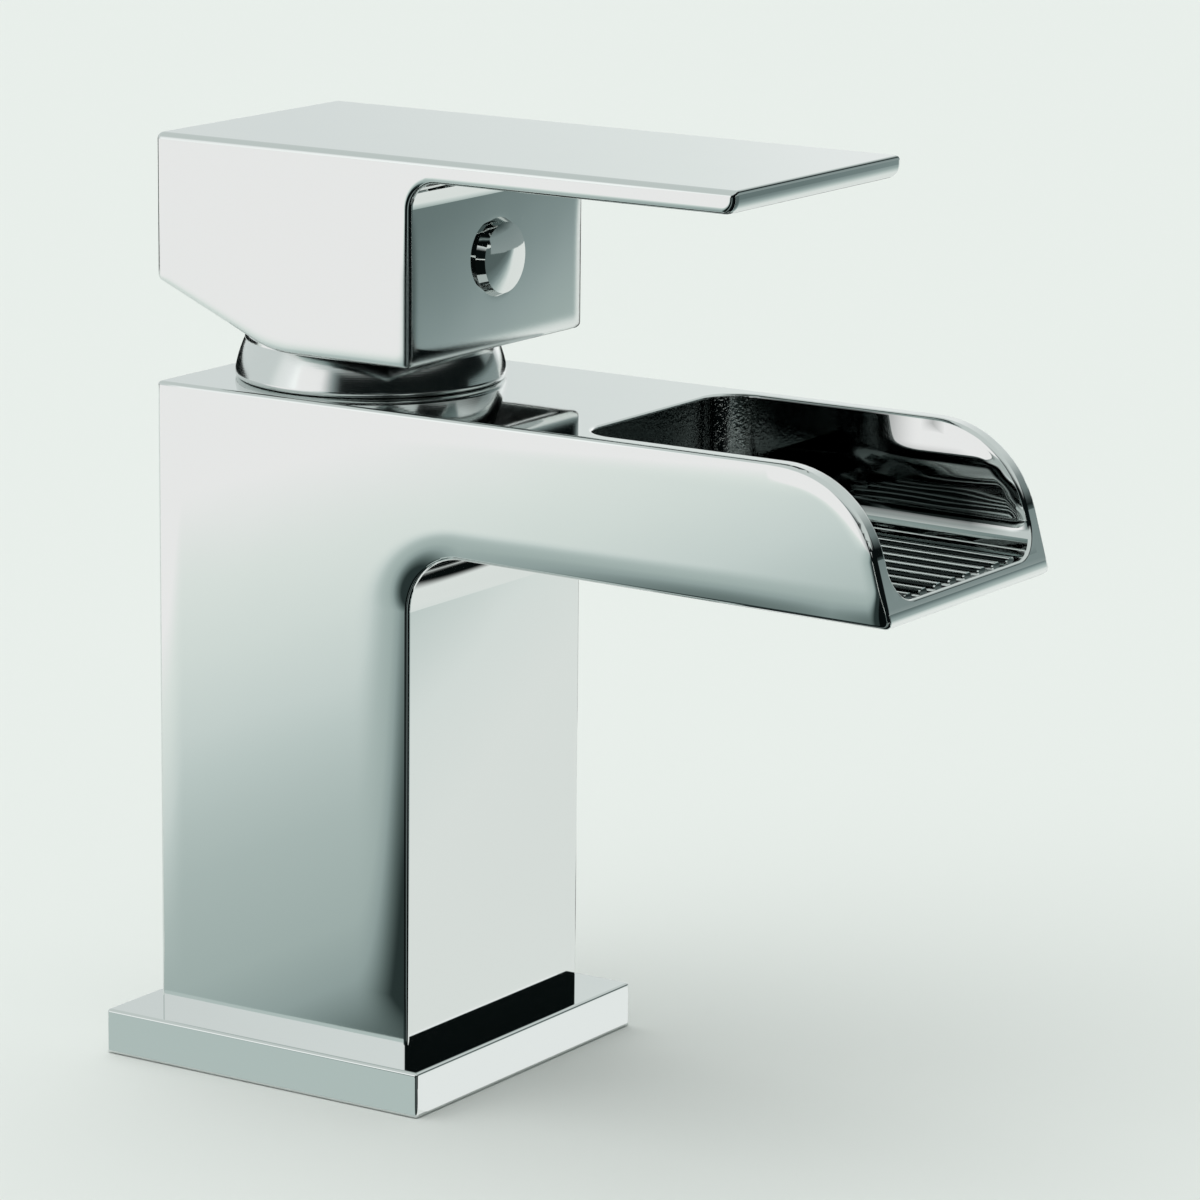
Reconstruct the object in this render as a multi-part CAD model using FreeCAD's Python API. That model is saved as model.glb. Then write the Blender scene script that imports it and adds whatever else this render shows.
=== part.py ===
# Square single-lever basin mixer with an open waterfall spout, in millimetres.
# Frame: the origin is the centre of the base plate's underside, +Z is up, spout and lever point along -Y.
import FreeCAD, Part
import math
import os

Vector = FreeCAD.Vector

# Driving dimensions of the whole tap
CARTRIDGE_DIAMETER = 35.0
COLUMN_WALL = 4.0
BODY_HEIGHT = 97.6
PLATE_STEP = 6.0
PLATE_THICKNESS = 6.8
SPOUT_REACH = 104.7
SPOUT_DEPTH = 20.6
SPOUT_FALL = 1.0
TROUGH_LENGTH = 54.4
TROUGH_WALL = 2.8
TROUGH_FLOOR = 3.2
HUB_GAP = 6.4
HUB_HEIGHT = 31.1
LEVER_REACH = 78.3
LEVER_THICKNESS = 3.5
LIFT_LIMIT_DEGREES = 25.0
SWIVEL_LIMIT_DEGREES = 50.0

# Clearances: FIT_GAP round pins, threads and seals, RUN_GAP between sliding pieces, OVERRUN for cuts
FIT_GAP = 0.05
RUN_GAP = 0.2
OVERRUN = 1.0

# Radii that nest from the cartridge outwards
THREAD_STEP = 1.45
SHELL_GROOVE_DEPTH = 1.5
SHELL_WALL = 1.4
NUT_WALL = 1.5
cartridge_radius = CARTRIDGE_DIAMETER / 2
pocket_radius = cartridge_radius + FIT_GAP
thread_radius = pocket_radius + THREAD_STEP
column_half = thread_radius + COLUMN_WALL
plate_half = column_half + PLATE_STEP
shell_groove_radius = cartridge_radius - SHELL_GROOVE_DEPTH
shell_outer = shell_groove_radius + RUN_GAP
shell_inner = shell_outer - SHELL_WALL
nut_bore = shell_outer + FIT_GAP
nut_ring_radius = nut_bore + NUT_WALL

# Levels from the deck upwards
NUT_THREAD_LENGTH = 6.4
SHOULDER_HEIGHT = 19.0
BASE_HEIGHT = 7.0
DISC_RECESS = 1.0
FIXED_DISC_THICKNESS = 3.3
MOVING_DISC_THICKNESS = 3.3
CARRIER_THICKNESS = 4.6
ROTOR_FLANGE_HEIGHT = 5.0
GLIDE_RING_THICKNESS = 0.6
SHELL_ROOF = 1.8
PIVOT_HEIGHT = 7.6
BALL_DEPTH = 2.2
body_top = PLATE_THICKNESS + BODY_HEIGHT
shoulder_level = body_top - NUT_THREAD_LENGTH
seat_level = shoulder_level - SHOULDER_HEIGHT
base_top = seat_level + BASE_HEIGHT
fixed_disc_level = base_top - DISC_RECESS
moving_disc_level = fixed_disc_level + FIXED_DISC_THICKNESS
carrier_level = moving_disc_level + MOVING_DISC_THICKNESS
carrier_top = carrier_level + CARRIER_THICKNESS
rotor_level = carrier_top + RUN_GAP
rotor_flange_top = rotor_level + ROTOR_FLANGE_HEIGHT
shell_roof_level = rotor_flange_top + GLIDE_RING_THICKNESS
shell_top = shell_roof_level + SHELL_ROOF
pivot_level = rotor_level + PIVOT_HEIGHT
ball_level = carrier_top - BALL_DEPTH
hub_level = body_top + HUB_GAP
lever_top = hub_level + HUB_HEIGHT
lever_underside = lever_top - LEVER_THICKNESS
spout_root_level = body_top - SPOUT_DEPTH
spout_lip_level = spout_root_level - SPOUT_FALL
spout_slope = SPOUT_FALL / (SPOUT_REACH - column_half)
trough_rear = SPOUT_REACH - TROUGH_LENGTH

# Travel of the ceramic disc: the spindle's ball swings on its arm below the pivot pin
lift_sine = math.sin(math.radians(LIFT_LIMIT_DEGREES))
lift_cosine = math.cos(math.radians(LIFT_LIMIT_DEGREES))
disc_travel = (pivot_level - ball_level) * lift_sine
disc_rest = disc_travel / 2

# Water ways that the body, the cartridge base and the discs share
INLET_SPACING = 14.0
INLET_OFFSET = 4.0
INLET_RADIUS = 2.9
SLEEVE_RADIUS = 4.4
OUTLET_WIDTH = 12.0
OUTLET_LENGTH = 6.0
OUTLET_OFFSET = 4.5
inlet_places = [(side * INLET_SPACING / 2, -INLET_OFFSET) for side in (-1, 1)]

# Pegs under the cartridge base that keep it from turning in the body
PEG_RADIUS = 1.6
PEG_LENGTH = 2.2
PEG_SPACING = 20.0
PEG_OFFSET = 8.0
peg_places = [(side * PEG_SPACING / 2, PEG_OFFSET) for side in (-1, 1)]

# Edge rounding of the polished pieces
EDGE_RADIUS = 0.6
FINE_EDGE_RADIUS = 0.5


def box(width, depth, low, high, x=0, y=0):
    """Upright box centred on x, y between two levels."""
    corner = Vector(x - width / 2, y - depth / 2, low)
    return Part.makeBox(width, depth, high - low, corner)


def post(radius, low, high, x=0, y=0):
    """Upright cylinder between two levels."""
    return Part.makeCylinder(radius, high - low, Vector(x, y, low))


def bar_along_x(radius, half_length, y, z):
    """Cylinder along X, centred on the part's middle plane."""
    return Part.makeCylinder(radius, 2 * half_length, Vector(-half_length, y, z), Vector(1, 0, 0))


def bar_along_y(radius, front, back, z):
    """Cylinder along Y between two places, in the part's middle plane."""
    return Part.makeCylinder(radius, back - front, Vector(0, front, z), Vector(0, 1, 0))


def side_view(y, z):
    """Point of an outline drawn in the middle plane."""
    return Vector(0, y, z)


def plan_view(x, y):
    """Point of an outline drawn on the deck."""
    return Vector(x, y, 0)


def front_view(x, z):
    """Point of an outline drawn facing the spout."""
    return Vector(x, 0, z)


def rounded_outline(corners, place):
    """Closed wire through corners (u, v, radius), each corner rounded by a tangent arc."""
    points = [place(u, v) for u, v, radius in corners]
    edges = []
    last_end = None
    first_start = None
    for index, (u, v, radius) in enumerate(corners):
        corner = points[index]
        inward = (corner - points[index - 1]).normalize()
        outward = (points[(index + 1) % len(points)] - corner).normalize()
        half_turn = inward.getAngle(outward) / 2
        reach = radius * math.tan(half_turn)
        start = corner - inward * reach
        end = corner + outward * reach
        if last_end is None:
            first_start = start
        else:
            edges.append(Part.LineSegment(last_end, start).toShape())
        if radius > 0:
            to_centre = (outward - inward).normalize()
            middle = corner + to_centre * (radius / math.cos(half_turn) - radius)
            edges.append(Part.Arc(start, middle, end).toShape())
        last_end = end
    edges.append(Part.LineSegment(last_end, first_start).toShape())
    return Part.Wire(edges)


def extruded(corners, place, direction):
    """Solid from a rounded outline, pushed along a vector."""
    return Part.Face(rounded_outline(corners, place)).extrude(direction)


def across(corners, half_width):
    """Side-view outline pushed across the part, centred on its middle plane."""
    solid = extruded(corners, side_view, Vector(2 * half_width, 0, 0))
    solid.translate(Vector(-half_width, 0, 0))
    return solid


def rounded_block(half_x, front, back, low, high, radius):
    """Upright block with rounded vertical edges."""
    corners = [(-half_x, front), (half_x, front), (half_x, back), (-half_x, back)]
    block = extruded([(x, y, radius) for x, y in corners], plan_view, Vector(0, 0, high - low))
    block.translate(Vector(0, 0, low))
    return block


def slot(half_length, half_width, low, high, y=0):
    """Upright slot with round ends, its length along X."""
    end = half_length - half_width
    middle = box(2 * end, 2 * half_width, low, high, 0, y)
    return middle.fuse([post(half_width, low, high, side * end, y) for side in (-1, 1)]).removeSplitter()


def turned(points):
    """Solid of revolution about Z from a closed outline of (radius, level) points."""
    outline = [Vector(radius, 0, level) for radius, level in points]
    face = Part.Face(Part.makePolygon(outline + outline[:1]))
    return face.revolve(Vector(0, 0, 0), Vector(0, 0, 1), 360)


def ring(inner, outer, low, high):
    """Plain ring with a rectangular section."""
    return turned([(inner, low), (outer, low), (outer, high), (inner, high)])


def o_ring(inner, outer, level):
    """Round-section ring that fills a groove from its inner to its outer radius."""
    section = (outer - inner) / 2
    return Part.makeTorus((inner + outer) / 2, section, Vector(0, 0, level))


def edges_on_sides(solid, half_width, low):
    """Edges of the two side faces of a piece pushed across the part, apart from its foot."""
    chosen = []
    for edge in solid.Edges:
        limits = edge.BoundBox
        on_side = limits.XLength < FIT_GAP and abs(abs(limits.Center.x) - half_width) < FIT_GAP
        if on_side and limits.ZMax > low + FIT_GAP:
            chosen.append(edge)
    return chosen


def edges_across_at(solid, places):
    """Straight edges along X at the given (y, z) places."""
    chosen = []
    for edge in solid.Edges:
        centre = edge.BoundBox.Center
        for y, z in places:
            if edge.BoundBox.XLength > FIT_GAP and math.hypot(centre.y - y, centre.z - z) < FIT_GAP:
                chosen.append(edge)
    return chosen


# Tap body: column and waterfall spout in one casting
LIP_RADIUS = 16.5
LIP_LEAN_DEGREES = 16.0
LIP_FOOT_RADIUS = 1.0
SPOUT_ROOT_RADIUS = 9.0
TROUGH_CORNER_RADIUS = 6.0
TROUGH_FILLET = 5.0
RIB_COUNT = 8
RIB_PITCH = 4.2
RIB_WIDTH = 2.0
RIB_HEIGHT = 0.6
RIB_LIP_MARGIN = 2.2
RIB_REAR_MARGIN = 10.0
FOOT_STEP = 3.5
SPIGOT_WALL = 2.0
SPIGOT_LENGTH = 5.0
SPIGOT_GROOVE_DEPTH = 1.1
SPIGOT_GROOVE_HEIGHT = 1.6
BLOCK_THICKNESS = 20.0
PORT_RADIUS = 4.5
PORT_LENGTH = 12.0
STUD_RADIUS = 3.4
STUD_LENGTH = 14.0
STUD_OFFSET = 9.0
PASSAGE_WINDOW_WIDTH = 20.0
PASSAGE_MOUTH_WIDTH = 34.0
PASSAGE_HEIGHT = 6.0
PASSAGE_RISE = 3.4
PASSAGE_CORNER_RADIUS = 2.0
THREAD_RUNOUT = 1.0
spigot_radius = column_half - FOOT_STEP
hollow_radius = spigot_radius - SPIGOT_WALL
spigot_end = PLATE_THICKNESS - SPIGOT_LENGTH
spigot_groove_level = PLATE_THICKNESS - SPIGOT_LENGTH / 2
block_underside = seat_level - BLOCK_THICKNESS
trough_half = column_half - TROUGH_WALL


def spout_underside(distance):
    """Level of the spout's underside at a distance in front of the column's axis."""
    return spout_root_level - spout_slope * (distance - column_half)


def trough_floor(distance):
    """Level of the trough's floor at a distance in front of the column's axis."""
    return spout_underside(distance) + TROUGH_FLOOR


def body_casting():
    """Outer form: side view pushed across, with every long edge rounded."""
    lip_lean = (body_top - spout_lip_level) * math.tan(math.radians(LIP_LEAN_DEGREES))
    outline = [
        (column_half, PLATE_THICKNESS, 0),
        (column_half, body_top, 0),
        (lip_lean - SPOUT_REACH, body_top, LIP_RADIUS),
        (-SPOUT_REACH, spout_lip_level, LIP_FOOT_RADIUS),
        (-column_half, spout_root_level, SPOUT_ROOT_RADIUS),
        (-column_half, PLATE_THICKNESS, 0),
    ]
    casting = across(outline, column_half)
    edges = edges_on_sides(casting, column_half, PLATE_THICKNESS)
    edges += edges_across_at(casting, [(column_half, body_top)])
    return casting.makeFillet(EDGE_RADIUS, edges)


def trough_cut():
    """Open channel of the spout, round in its rear corners and along its floor."""
    front = SPOUT_REACH + OVERRUN
    above = body_top + OVERRUN
    outline = [
        (-trough_rear, trough_floor(trough_rear), 0),
        (-trough_rear, above, 0),
        (-front, above, 0),
        (-front, trough_floor(front), 0),
    ]
    channel = across(outline, trough_half)
    rear_edges = []
    for edge in channel.Edges:
        if edge.BoundBox.YMin > -trough_rear - FIT_GAP and edge.BoundBox.XLength < FIT_GAP:
            rear_edges.append(edge)
    channel = channel.makeFillet(TROUGH_CORNER_RADIUS, rear_edges)
    half_way = (body_top + trough_floor(trough_rear)) / 2
    floor_edges = []
    for edge in channel.Edges:
        if edge.BoundBox.ZMax < half_way and edge.BoundBox.YMax > -front + FIT_GAP:
            floor_edges.append(edge)
    return channel.makeFillet(TROUGH_FILLET, floor_edges)


def trough_ribs():
    """Low round ridges along the trough's floor that keep the sheet of water straight."""
    rear = trough_rear + RIB_REAR_MARGIN
    length = SPOUT_REACH - RIB_LIP_MARGIN - rear
    floor = trough_floor(rear)
    ribs = []
    for index in range(RIB_COUNT):
        x = (index - (RIB_COUNT - 1) / 2) * RIB_PITCH
        left = front_view(x - RIB_WIDTH / 2, floor)
        right = front_view(x + RIB_WIDTH / 2, floor)
        sunk = Vector(0, 0, -TROUGH_FLOOR / 2)
        crest = Part.Arc(left, front_view(x, floor + RIB_HEIGHT), right).toShape()
        sides = Part.makePolygon([right, right + sunk, left + sunk, left])
        rib = Part.Face(Part.Wire([crest] + sides.Edges)).extrude(Vector(0, -length, -length * spout_slope))
        rib.translate(Vector(0, -rear, 0))
        ribs.append(rib)
    return ribs


def passage_section(width, distance):
    """Rounded rectangle, facing the spout, at a distance in front of the axis."""
    low = spout_root_level + PASSAGE_RISE
    high = low + PASSAGE_HEIGHT
    corners = [(-width / 2, low), (width / 2, low), (width / 2, high), (-width / 2, high)]
    section = rounded_outline([(x, z, PASSAGE_CORNER_RADIUS) for x, z in corners], front_view)
    section.translate(Vector(0, -distance, 0))
    return section


def water_passage():
    """Fan-shaped way from the cartridge pocket to the trough's rear wall."""
    window = passage_section(PASSAGE_WINDOW_WIDTH, shell_inner)
    mouth = passage_section(PASSAGE_MOUTH_WIDTH, trough_rear + TROUGH_FILLET)
    return Part.makeLoft([window, mouth], True, True)


def rim_edges(casting, skin, channel):
    """Closed chain of edges where the trough's channel breaks through the outer skin."""
    chosen = []
    for edge in casting.Edges:
        middle = Part.Vertex(edge.valueAt((edge.FirstParameter + edge.LastParameter) / 2))
        on_skin = middle.distToShape(skin)[0] < FIT_GAP
        on_channel = middle.distToShape(channel)[0] < FIT_GAP
        if on_skin and on_channel and edge.Length > FIT_GAP:
            chosen.append(edge)
    return chosen


def tap_body():
    """Column, spout, cartridge pocket, inlet block and foot spigot."""
    outer = body_casting()
    channel = trough_cut()
    casting = outer.cut(channel)
    casting = casting.makeFillet(FINE_EDGE_RADIUS, rim_edges(casting, outer.Shells[0], channel.Shells[0]))
    spigot = post(spigot_radius, spigot_end, PLATE_THICKNESS)
    casting = casting.fuse(trough_ribs() + [spigot]).removeSplitter()
    groove_low = spigot_groove_level - SPIGOT_GROOVE_HEIGHT / 2
    groove_bottom = spigot_radius - SPIGOT_GROOVE_DEPTH
    cuts = [
        post(pocket_radius, seat_level, body_top + OVERRUN),
        post(thread_radius, shoulder_level - THREAD_RUNOUT, body_top + OVERRUN),
        post(hollow_radius, spigot_end - OVERRUN, block_underside),
        ring(groove_bottom, spigot_radius + OVERRUN, groove_low, groove_low + SPIGOT_GROOVE_HEIGHT),
        post(STUD_RADIUS, block_underside - OVERRUN, block_underside + STUD_LENGTH, 0, STUD_OFFSET),
        water_passage(),
    ]
    for x, y in inlet_places:
        cuts.append(post(PORT_RADIUS, block_underside - OVERRUN, block_underside + PORT_LENGTH, x, y))
        cuts.append(post(INLET_RADIUS, block_underside, seat_level + OVERRUN, x, y))
    for x, y in peg_places:
        bottom = seat_level - PEG_LENGTH - RUN_GAP
        cuts.append(post(PEG_RADIUS + FIT_GAP, bottom, seat_level + OVERRUN, x, y))
    return casting.cut(cuts)


# Base plate with its gasket and the ring on the column's spigot
GASKET_INSET = 2.4
GASKET_WIDTH = 4.0
GASKET_THICKNESS = 2.0
gasket_inner = spigot_radius + GASKET_INSET
gasket_outer = gasket_inner + GASKET_WIDTH


def base_plate():
    """Square plate, rounded round its top and corners, bored for the column's spigot."""
    plate = box(2 * plate_half, 2 * plate_half, 0, PLATE_THICKNESS)
    edges = [e for e in plate.Edges if e.BoundBox.ZMax > FIT_GAP]
    plate = plate.makeFillet(FINE_EDGE_RADIUS, edges)
    bore = post(spigot_radius + FIT_GAP, -OVERRUN, PLATE_THICKNESS + OVERRUN)
    groove = ring(gasket_inner, gasket_outer, -OVERRUN, GASKET_THICKNESS)
    return plate.cut([bore, groove])


def base_gasket():
    """Flat ring that seals the plate to the basin."""
    return ring(gasket_inner, gasket_outer, 0, GASKET_THICKNESS)


def spigot_o_ring():
    """Ring between the spigot's groove and the plate's bore."""
    return o_ring(spigot_radius - SPIGOT_GROOVE_DEPTH + FIT_GAP, spigot_radius, spigot_groove_level)


# Cartridge base: inlets for two sleeves, mixed water out through windows in its side
DISC_MARGIN = 1.2
WINDOW_COUNT = 3
WINDOW_SPREAD_DEGREES = 45.0
WINDOW_WIDTH = 6.0
WINDOW_HEIGHT = 4.0
WINDOW_SILL = 1.2
fixed_disc_radius = shell_inner - DISC_MARGIN


def cartridge_base():
    """Distributor that carries the fixed disc and lets mixed water out to the rear."""
    sill = seat_level + WINDOW_SILL
    pegs = [post(PEG_RADIUS, seat_level - PEG_LENGTH, sill, x, y) for x, y in peg_places]
    foot = post(shell_outer, seat_level, base_top).fuse(pegs).removeSplitter()
    recess = post(fixed_disc_radius + FIT_GAP, fixed_disc_level, base_top + OVERRUN)
    outlet = slot(OUTLET_WIDTH / 2, OUTLET_LENGTH / 2, sill, base_top, OUTLET_OFFSET)
    cuts = [recess, outlet]
    for x, y in inlet_places:
        cuts.append(post(SLEEVE_RADIUS + FIT_GAP, seat_level - OVERRUN, base_top, x, y))
    for index in range(WINDOW_COUNT):
        middle = OUTLET_OFFSET + shell_outer / 2
        window = box(WINDOW_WIDTH, shell_outer, sill, sill + WINDOW_HEIGHT, 0, middle)
        turn = (index - (WINDOW_COUNT - 1) / 2) * WINDOW_SPREAD_DEGREES
        window.rotate(Vector(0, OUTLET_OFFSET, 0), Vector(0, 0, 1), turn)
        cuts.append(window)
    return foot.cut(cuts)


def inlet_seals():
    """Hot and cold rubber sleeves from the body's seat to the fixed disc."""
    sleeves = []
    for x, y in inlet_places:
        outside = post(SLEEVE_RADIUS, seat_level, fixed_disc_level, x, y)
        sleeves.append(outside.cut(post(INLET_RADIUS, seat_level - OVERRUN, base_top, x, y)))
    return Part.makeCompound(sleeves)


# Ceramic discs and the carrier that slides the upper one
HOLLOW_FRONT = 2.3
HOLLOW_BACK = 7.2
HOLLOW_HALF_WIDTH = 8.0
HOLLOW_DEPTH = 1.8
HOLLOW_CORNER_RADIUS = 3.0
KEY_WIDTH = 2.5
KEY_LENGTH = 12.0
KEY_HEIGHT = 1.8
KEY_OFFSET = 8.2
LUG_WIDTH = 3.0
LUG_DEPTH = 2.0
LUG_HEIGHT = 1.2
BALL_RADIUS = 2.0
disc_radius = shell_inner - disc_rest - 2 * RUN_GAP
ball_slot_half = BALL_RADIUS + RUN_GAP
lug_offset = disc_radius - LUG_DEPTH / 2


def fixed_disc():
    """Lower ceramic disc with two inlets and an outlet slot."""
    disc = post(fixed_disc_radius, fixed_disc_level, moving_disc_level)
    low = fixed_disc_level - OVERRUN
    high = moving_disc_level + OVERRUN
    cuts = [post(INLET_RADIUS, low, high, x, y) for x, y in inlet_places]
    cuts.append(slot(OUTLET_WIDTH / 2, OUTLET_LENGTH / 2, low, high, OUTLET_OFFSET))
    return disc.cut(cuts)


def carrier_lugs(gap):
    """Two lugs under the carrier, or with a gap the notches that they enter."""
    width = LUG_WIDTH + 2 * gap
    depth = LUG_DEPTH + 2 * gap
    low = carrier_level - LUG_HEIGHT - gap
    high = carrier_level + OVERRUN
    return [box(depth, width, low, high, side * lug_offset, disc_rest) for side in (-1, 1)]


def moving_disc():
    """Upper ceramic disc, hollow below so that it joins the inlets to the outlet when it slides."""
    disc = post(disc_radius, moving_disc_level, carrier_level, 0, disc_rest)
    hollow = rounded_block(
        HOLLOW_HALF_WIDTH,
        disc_rest - HOLLOW_FRONT,
        disc_rest + HOLLOW_BACK,
        moving_disc_level - OVERRUN,
        moving_disc_level + HOLLOW_DEPTH,
        HOLLOW_CORNER_RADIUS,
    )
    return disc.cut([hollow] + carrier_lugs(FIT_GAP))


def disc_carrier():
    """Plate keyed to the disc below and to the rotor above, slotted for the spindle's ball."""
    plate = post(disc_radius, carrier_level, carrier_top, 0, disc_rest)
    disc_room = post(disc_radius, carrier_level - LUG_HEIGHT, carrier_top, 0, disc_rest)
    lugs = [lug.common(disc_room) for lug in carrier_lugs(0)]
    keys = []
    for side in (-1, 1):
        x = side * KEY_OFFSET
        keys.append(box(KEY_WIDTH, KEY_LENGTH, carrier_level, carrier_top + KEY_HEIGHT, x, disc_rest))
    plate = plate.fuse(lugs + keys).removeSplitter()
    width = 2 * ball_slot_half
    return plate.cut(box(width, width, carrier_level - OVERRUN, carrier_top + OVERRUN))


# Rotor, pivot pin, glide ring and spindle
NECK_RADIUS = 10.4
NECK_RISE = 5.0
PIN_RADIUS = 1.5
PIN_MARGIN = 0.8
SPINDLE_WIDTH = 8.0
SPINDLE_ARM = 5.0
SPINDLE_NECK_RADIUS = 1.2
SPINDLE_PAST_SCREW = 5.0
SPINDLE_BEVEL = 0.8
PLUG_HEIGHT = 13.8
STOP_WIDTH = 3.0
STOP_DEPTH = 1.0
rotor_radius = shell_inner - RUN_GAP
stop_radius = shell_inner - STOP_DEPTH
rotor_top = shell_top + NECK_RISE
spindle_half = SPINDLE_WIDTH / 2
screw_level = hub_level + PLUG_HEIGHT
spindle_top = screw_level + SPINDLE_PAST_SCREW


def spindle_bays():
    """Three bays round the pin whose walls stop the spindle upright and at its full lift."""
    knee = spindle_half * math.tan(math.radians(LIFT_LIMIT_DEGREES / 2))
    upright = spindle_half + RUN_GAP
    leaning = (spindle_half + knee * lift_sine) / lift_cosine + RUN_GAP
    front = spindle_half * lift_cosine + SPINDLE_ARM * lift_sine + RUN_GAP
    back = (spindle_half + (rotor_top - pivot_level) * lift_sine) / lift_cosine + RUN_GAP
    limits = [
        (-front, upright, rotor_level - OVERRUN, pivot_level - knee),
        (-leaning, leaning, pivot_level - knee, pivot_level + knee),
        (-upright, back, pivot_level + knee, rotor_top + OVERRUN),
    ]
    width = SPINDLE_WIDTH + RUN_GAP
    return [box(width, far - near, low, high, 0, (near + far) / 2) for near, far, low, high in limits]


def stop_notch():
    """Sector cut from the rotor's rim; its ends meet the shell's stop at full swivel."""
    inner = stop_radius - RUN_GAP
    half_stop = math.degrees(math.asin((STOP_WIDTH / 2 + FIT_GAP) / inner))
    half_sector = SWIVEL_LIMIT_DEGREES + half_stop
    low = rotor_level - OVERRUN
    high = rotor_flange_top + OVERRUN
    outline = [(inner, low), (shell_outer, low), (shell_outer, high), (inner, high), (inner, low)]
    section = Part.Face(Part.makePolygon([front_view(radius, level) for radius, level in outline]))
    sector = section.revolve(Vector(0, 0, 0), Vector(0, 0, 1), 2 * half_sector)
    sector.rotate(Vector(0, 0, 0), Vector(0, 0, 1), 90 - half_sector)
    return sector


def rotor():
    """Guide that turns in the shell, open for the spindle and grooved for the carrier's keys."""
    blank = post(rotor_radius, rotor_level, rotor_flange_top)
    blank = blank.fuse(post(NECK_RADIUS, rotor_level, rotor_top)).removeSplitter()
    groove_width = KEY_WIDTH + RUN_GAP
    groove_length = KEY_LENGTH + disc_travel + 2 * RUN_GAP
    groove_top = carrier_top + KEY_HEIGHT + RUN_GAP
    cuts = spindle_bays() + [bar_along_x(PIN_RADIUS, NECK_RADIUS + OVERRUN, 0, pivot_level), stop_notch()]
    for side in (-1, 1):
        x = side * KEY_OFFSET
        cuts.append(box(groove_width, groove_length, rotor_level - OVERRUN, groove_top, x))
    return blank.cut(cuts)


def pivot_pin():
    """Cross pin pressed into the rotor's neck."""
    return bar_along_x(PIN_RADIUS, NECK_RADIUS - PIN_MARGIN, 0, pivot_level)


def glide_ring():
    """Slippery washer under the shell's roof."""
    return ring(NECK_RADIUS + RUN_GAP, rotor_radius - RUN_GAP, rotor_flange_top, shell_roof_level)


def spindle():
    """Square stem on the pivot pin, with a bevelled top and a ball at its lower end."""
    stem = box(SPINDLE_WIDTH, SPINDLE_WIDTH, pivot_level - SPINDLE_ARM, spindle_top)
    top_edges = [edge for edge in stem.Edges if edge.BoundBox.ZMin > spindle_top - FIT_GAP]
    stem = stem.makeChamfer(SPINDLE_BEVEL, top_edges)
    neck = post(SPINDLE_NECK_RADIUS, ball_level, pivot_level - SPINDLE_ARM)
    ball = Part.makeSphere(BALL_RADIUS, Vector(0, 0, ball_level))
    stem = stem.fuse([neck, ball]).removeSplitter()
    return stem.cut(bar_along_x(PIN_RADIUS + FIT_GAP, SPINDLE_WIDTH, 0, pivot_level))


# Cartridge shell, its O-ring and the gland nut
COLLAR_HEIGHT = 4.6
GROOVE_HEIGHT = 2.0
NUT_RISE = 3.4
NUT_SLOT_COUNT = 6
NUT_SLOT_WIDTH = 4.0
NUT_SLOT_DEPTH = 2.0
groove_level = shoulder_level - COLLAR_HEIGHT / 2
nut_top = body_top + NUT_RISE


def cartridge_shell():
    """Stepped housing up to the roof that the rotor's neck turns in, with the swivel's stop inside."""
    collar_low = shoulder_level - COLLAR_HEIGHT
    collar_radius = cartridge_radius - FIT_GAP
    neck_bore = NECK_RADIUS + FIT_GAP
    housing = turned(
        [
            (shell_inner, base_top),
            (shell_outer, base_top),
            (shell_outer, collar_low),
            (collar_radius, collar_low),
            (collar_radius, groove_level - GROOVE_HEIGHT / 2),
            (shell_groove_radius, groove_level - GROOVE_HEIGHT / 2),
            (shell_groove_radius, groove_level + GROOVE_HEIGHT / 2),
            (collar_radius, groove_level + GROOVE_HEIGHT / 2),
            (collar_radius, shoulder_level),
            (shell_outer, shoulder_level),
            (shell_outer, shell_top),
            (neck_bore, shell_top),
            (neck_bore, shell_roof_level),
            (shell_inner, shell_roof_level),
        ]
    )
    stop_depth = shell_groove_radius - stop_radius
    stop_y = (shell_groove_radius + stop_radius) / 2
    stop = box(STOP_WIDTH, stop_depth, rotor_level, rotor_flange_top, 0, stop_y)
    return housing.fuse(stop).removeSplitter()


def shell_o_ring():
    """Ring between the shell's groove and the pocket."""
    return o_ring(shell_groove_radius + FIT_GAP, pocket_radius - FIT_GAP, groove_level)


def gland_nut():
    """Threaded ring that presses on the shell's shoulder, castellated for a spanner."""
    blank = turned(
        [
            (nut_bore, shoulder_level),
            (thread_radius - FIT_GAP, shoulder_level),
            (thread_radius - FIT_GAP, body_top),
            (nut_ring_radius, body_top),
            (nut_ring_radius, nut_top),
            (nut_bore, nut_top),
        ]
    )
    cuts = []
    for index in range(NUT_SLOT_COUNT // 2):
        notch = box(NUT_SLOT_WIDTH, 2 * thread_radius, nut_top - NUT_SLOT_DEPTH, nut_top + OVERRUN)
        notch.rotate(Vector(0, 0, 0), Vector(0, 0, 1), index * 360 / NUT_SLOT_COUNT)
        cuts.append(notch)
    return blank.cut(cuts)


# Dome cover over the gland nut and the ring that grips it
DOME_HEIGHT = 8.0
DOME_WALL = 1.4
DOME_SHOULDER_HEIGHT = 5.9
DOME_TAPER = 1.65
DOME_SHOULDER_INSET = 2.2
DOME_HOLE_RADIUS = 12.0
DOME_RING_SECTION = 1.4
DOME_BULGE = 0.25
DOME_FOOT_ROUNDING = 0.8
DOME_BEND_SHARE = 0.74
dome_ring_outer = nut_ring_radius + FIT_GAP + DOME_RING_SECTION
dome_foot_radius = dome_ring_outer + FIT_GAP + DOME_WALL
dome_ring_top = body_top + DOME_RING_SECTION + 2 * FIT_GAP
dome_top = body_top + DOME_HEIGHT


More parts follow.
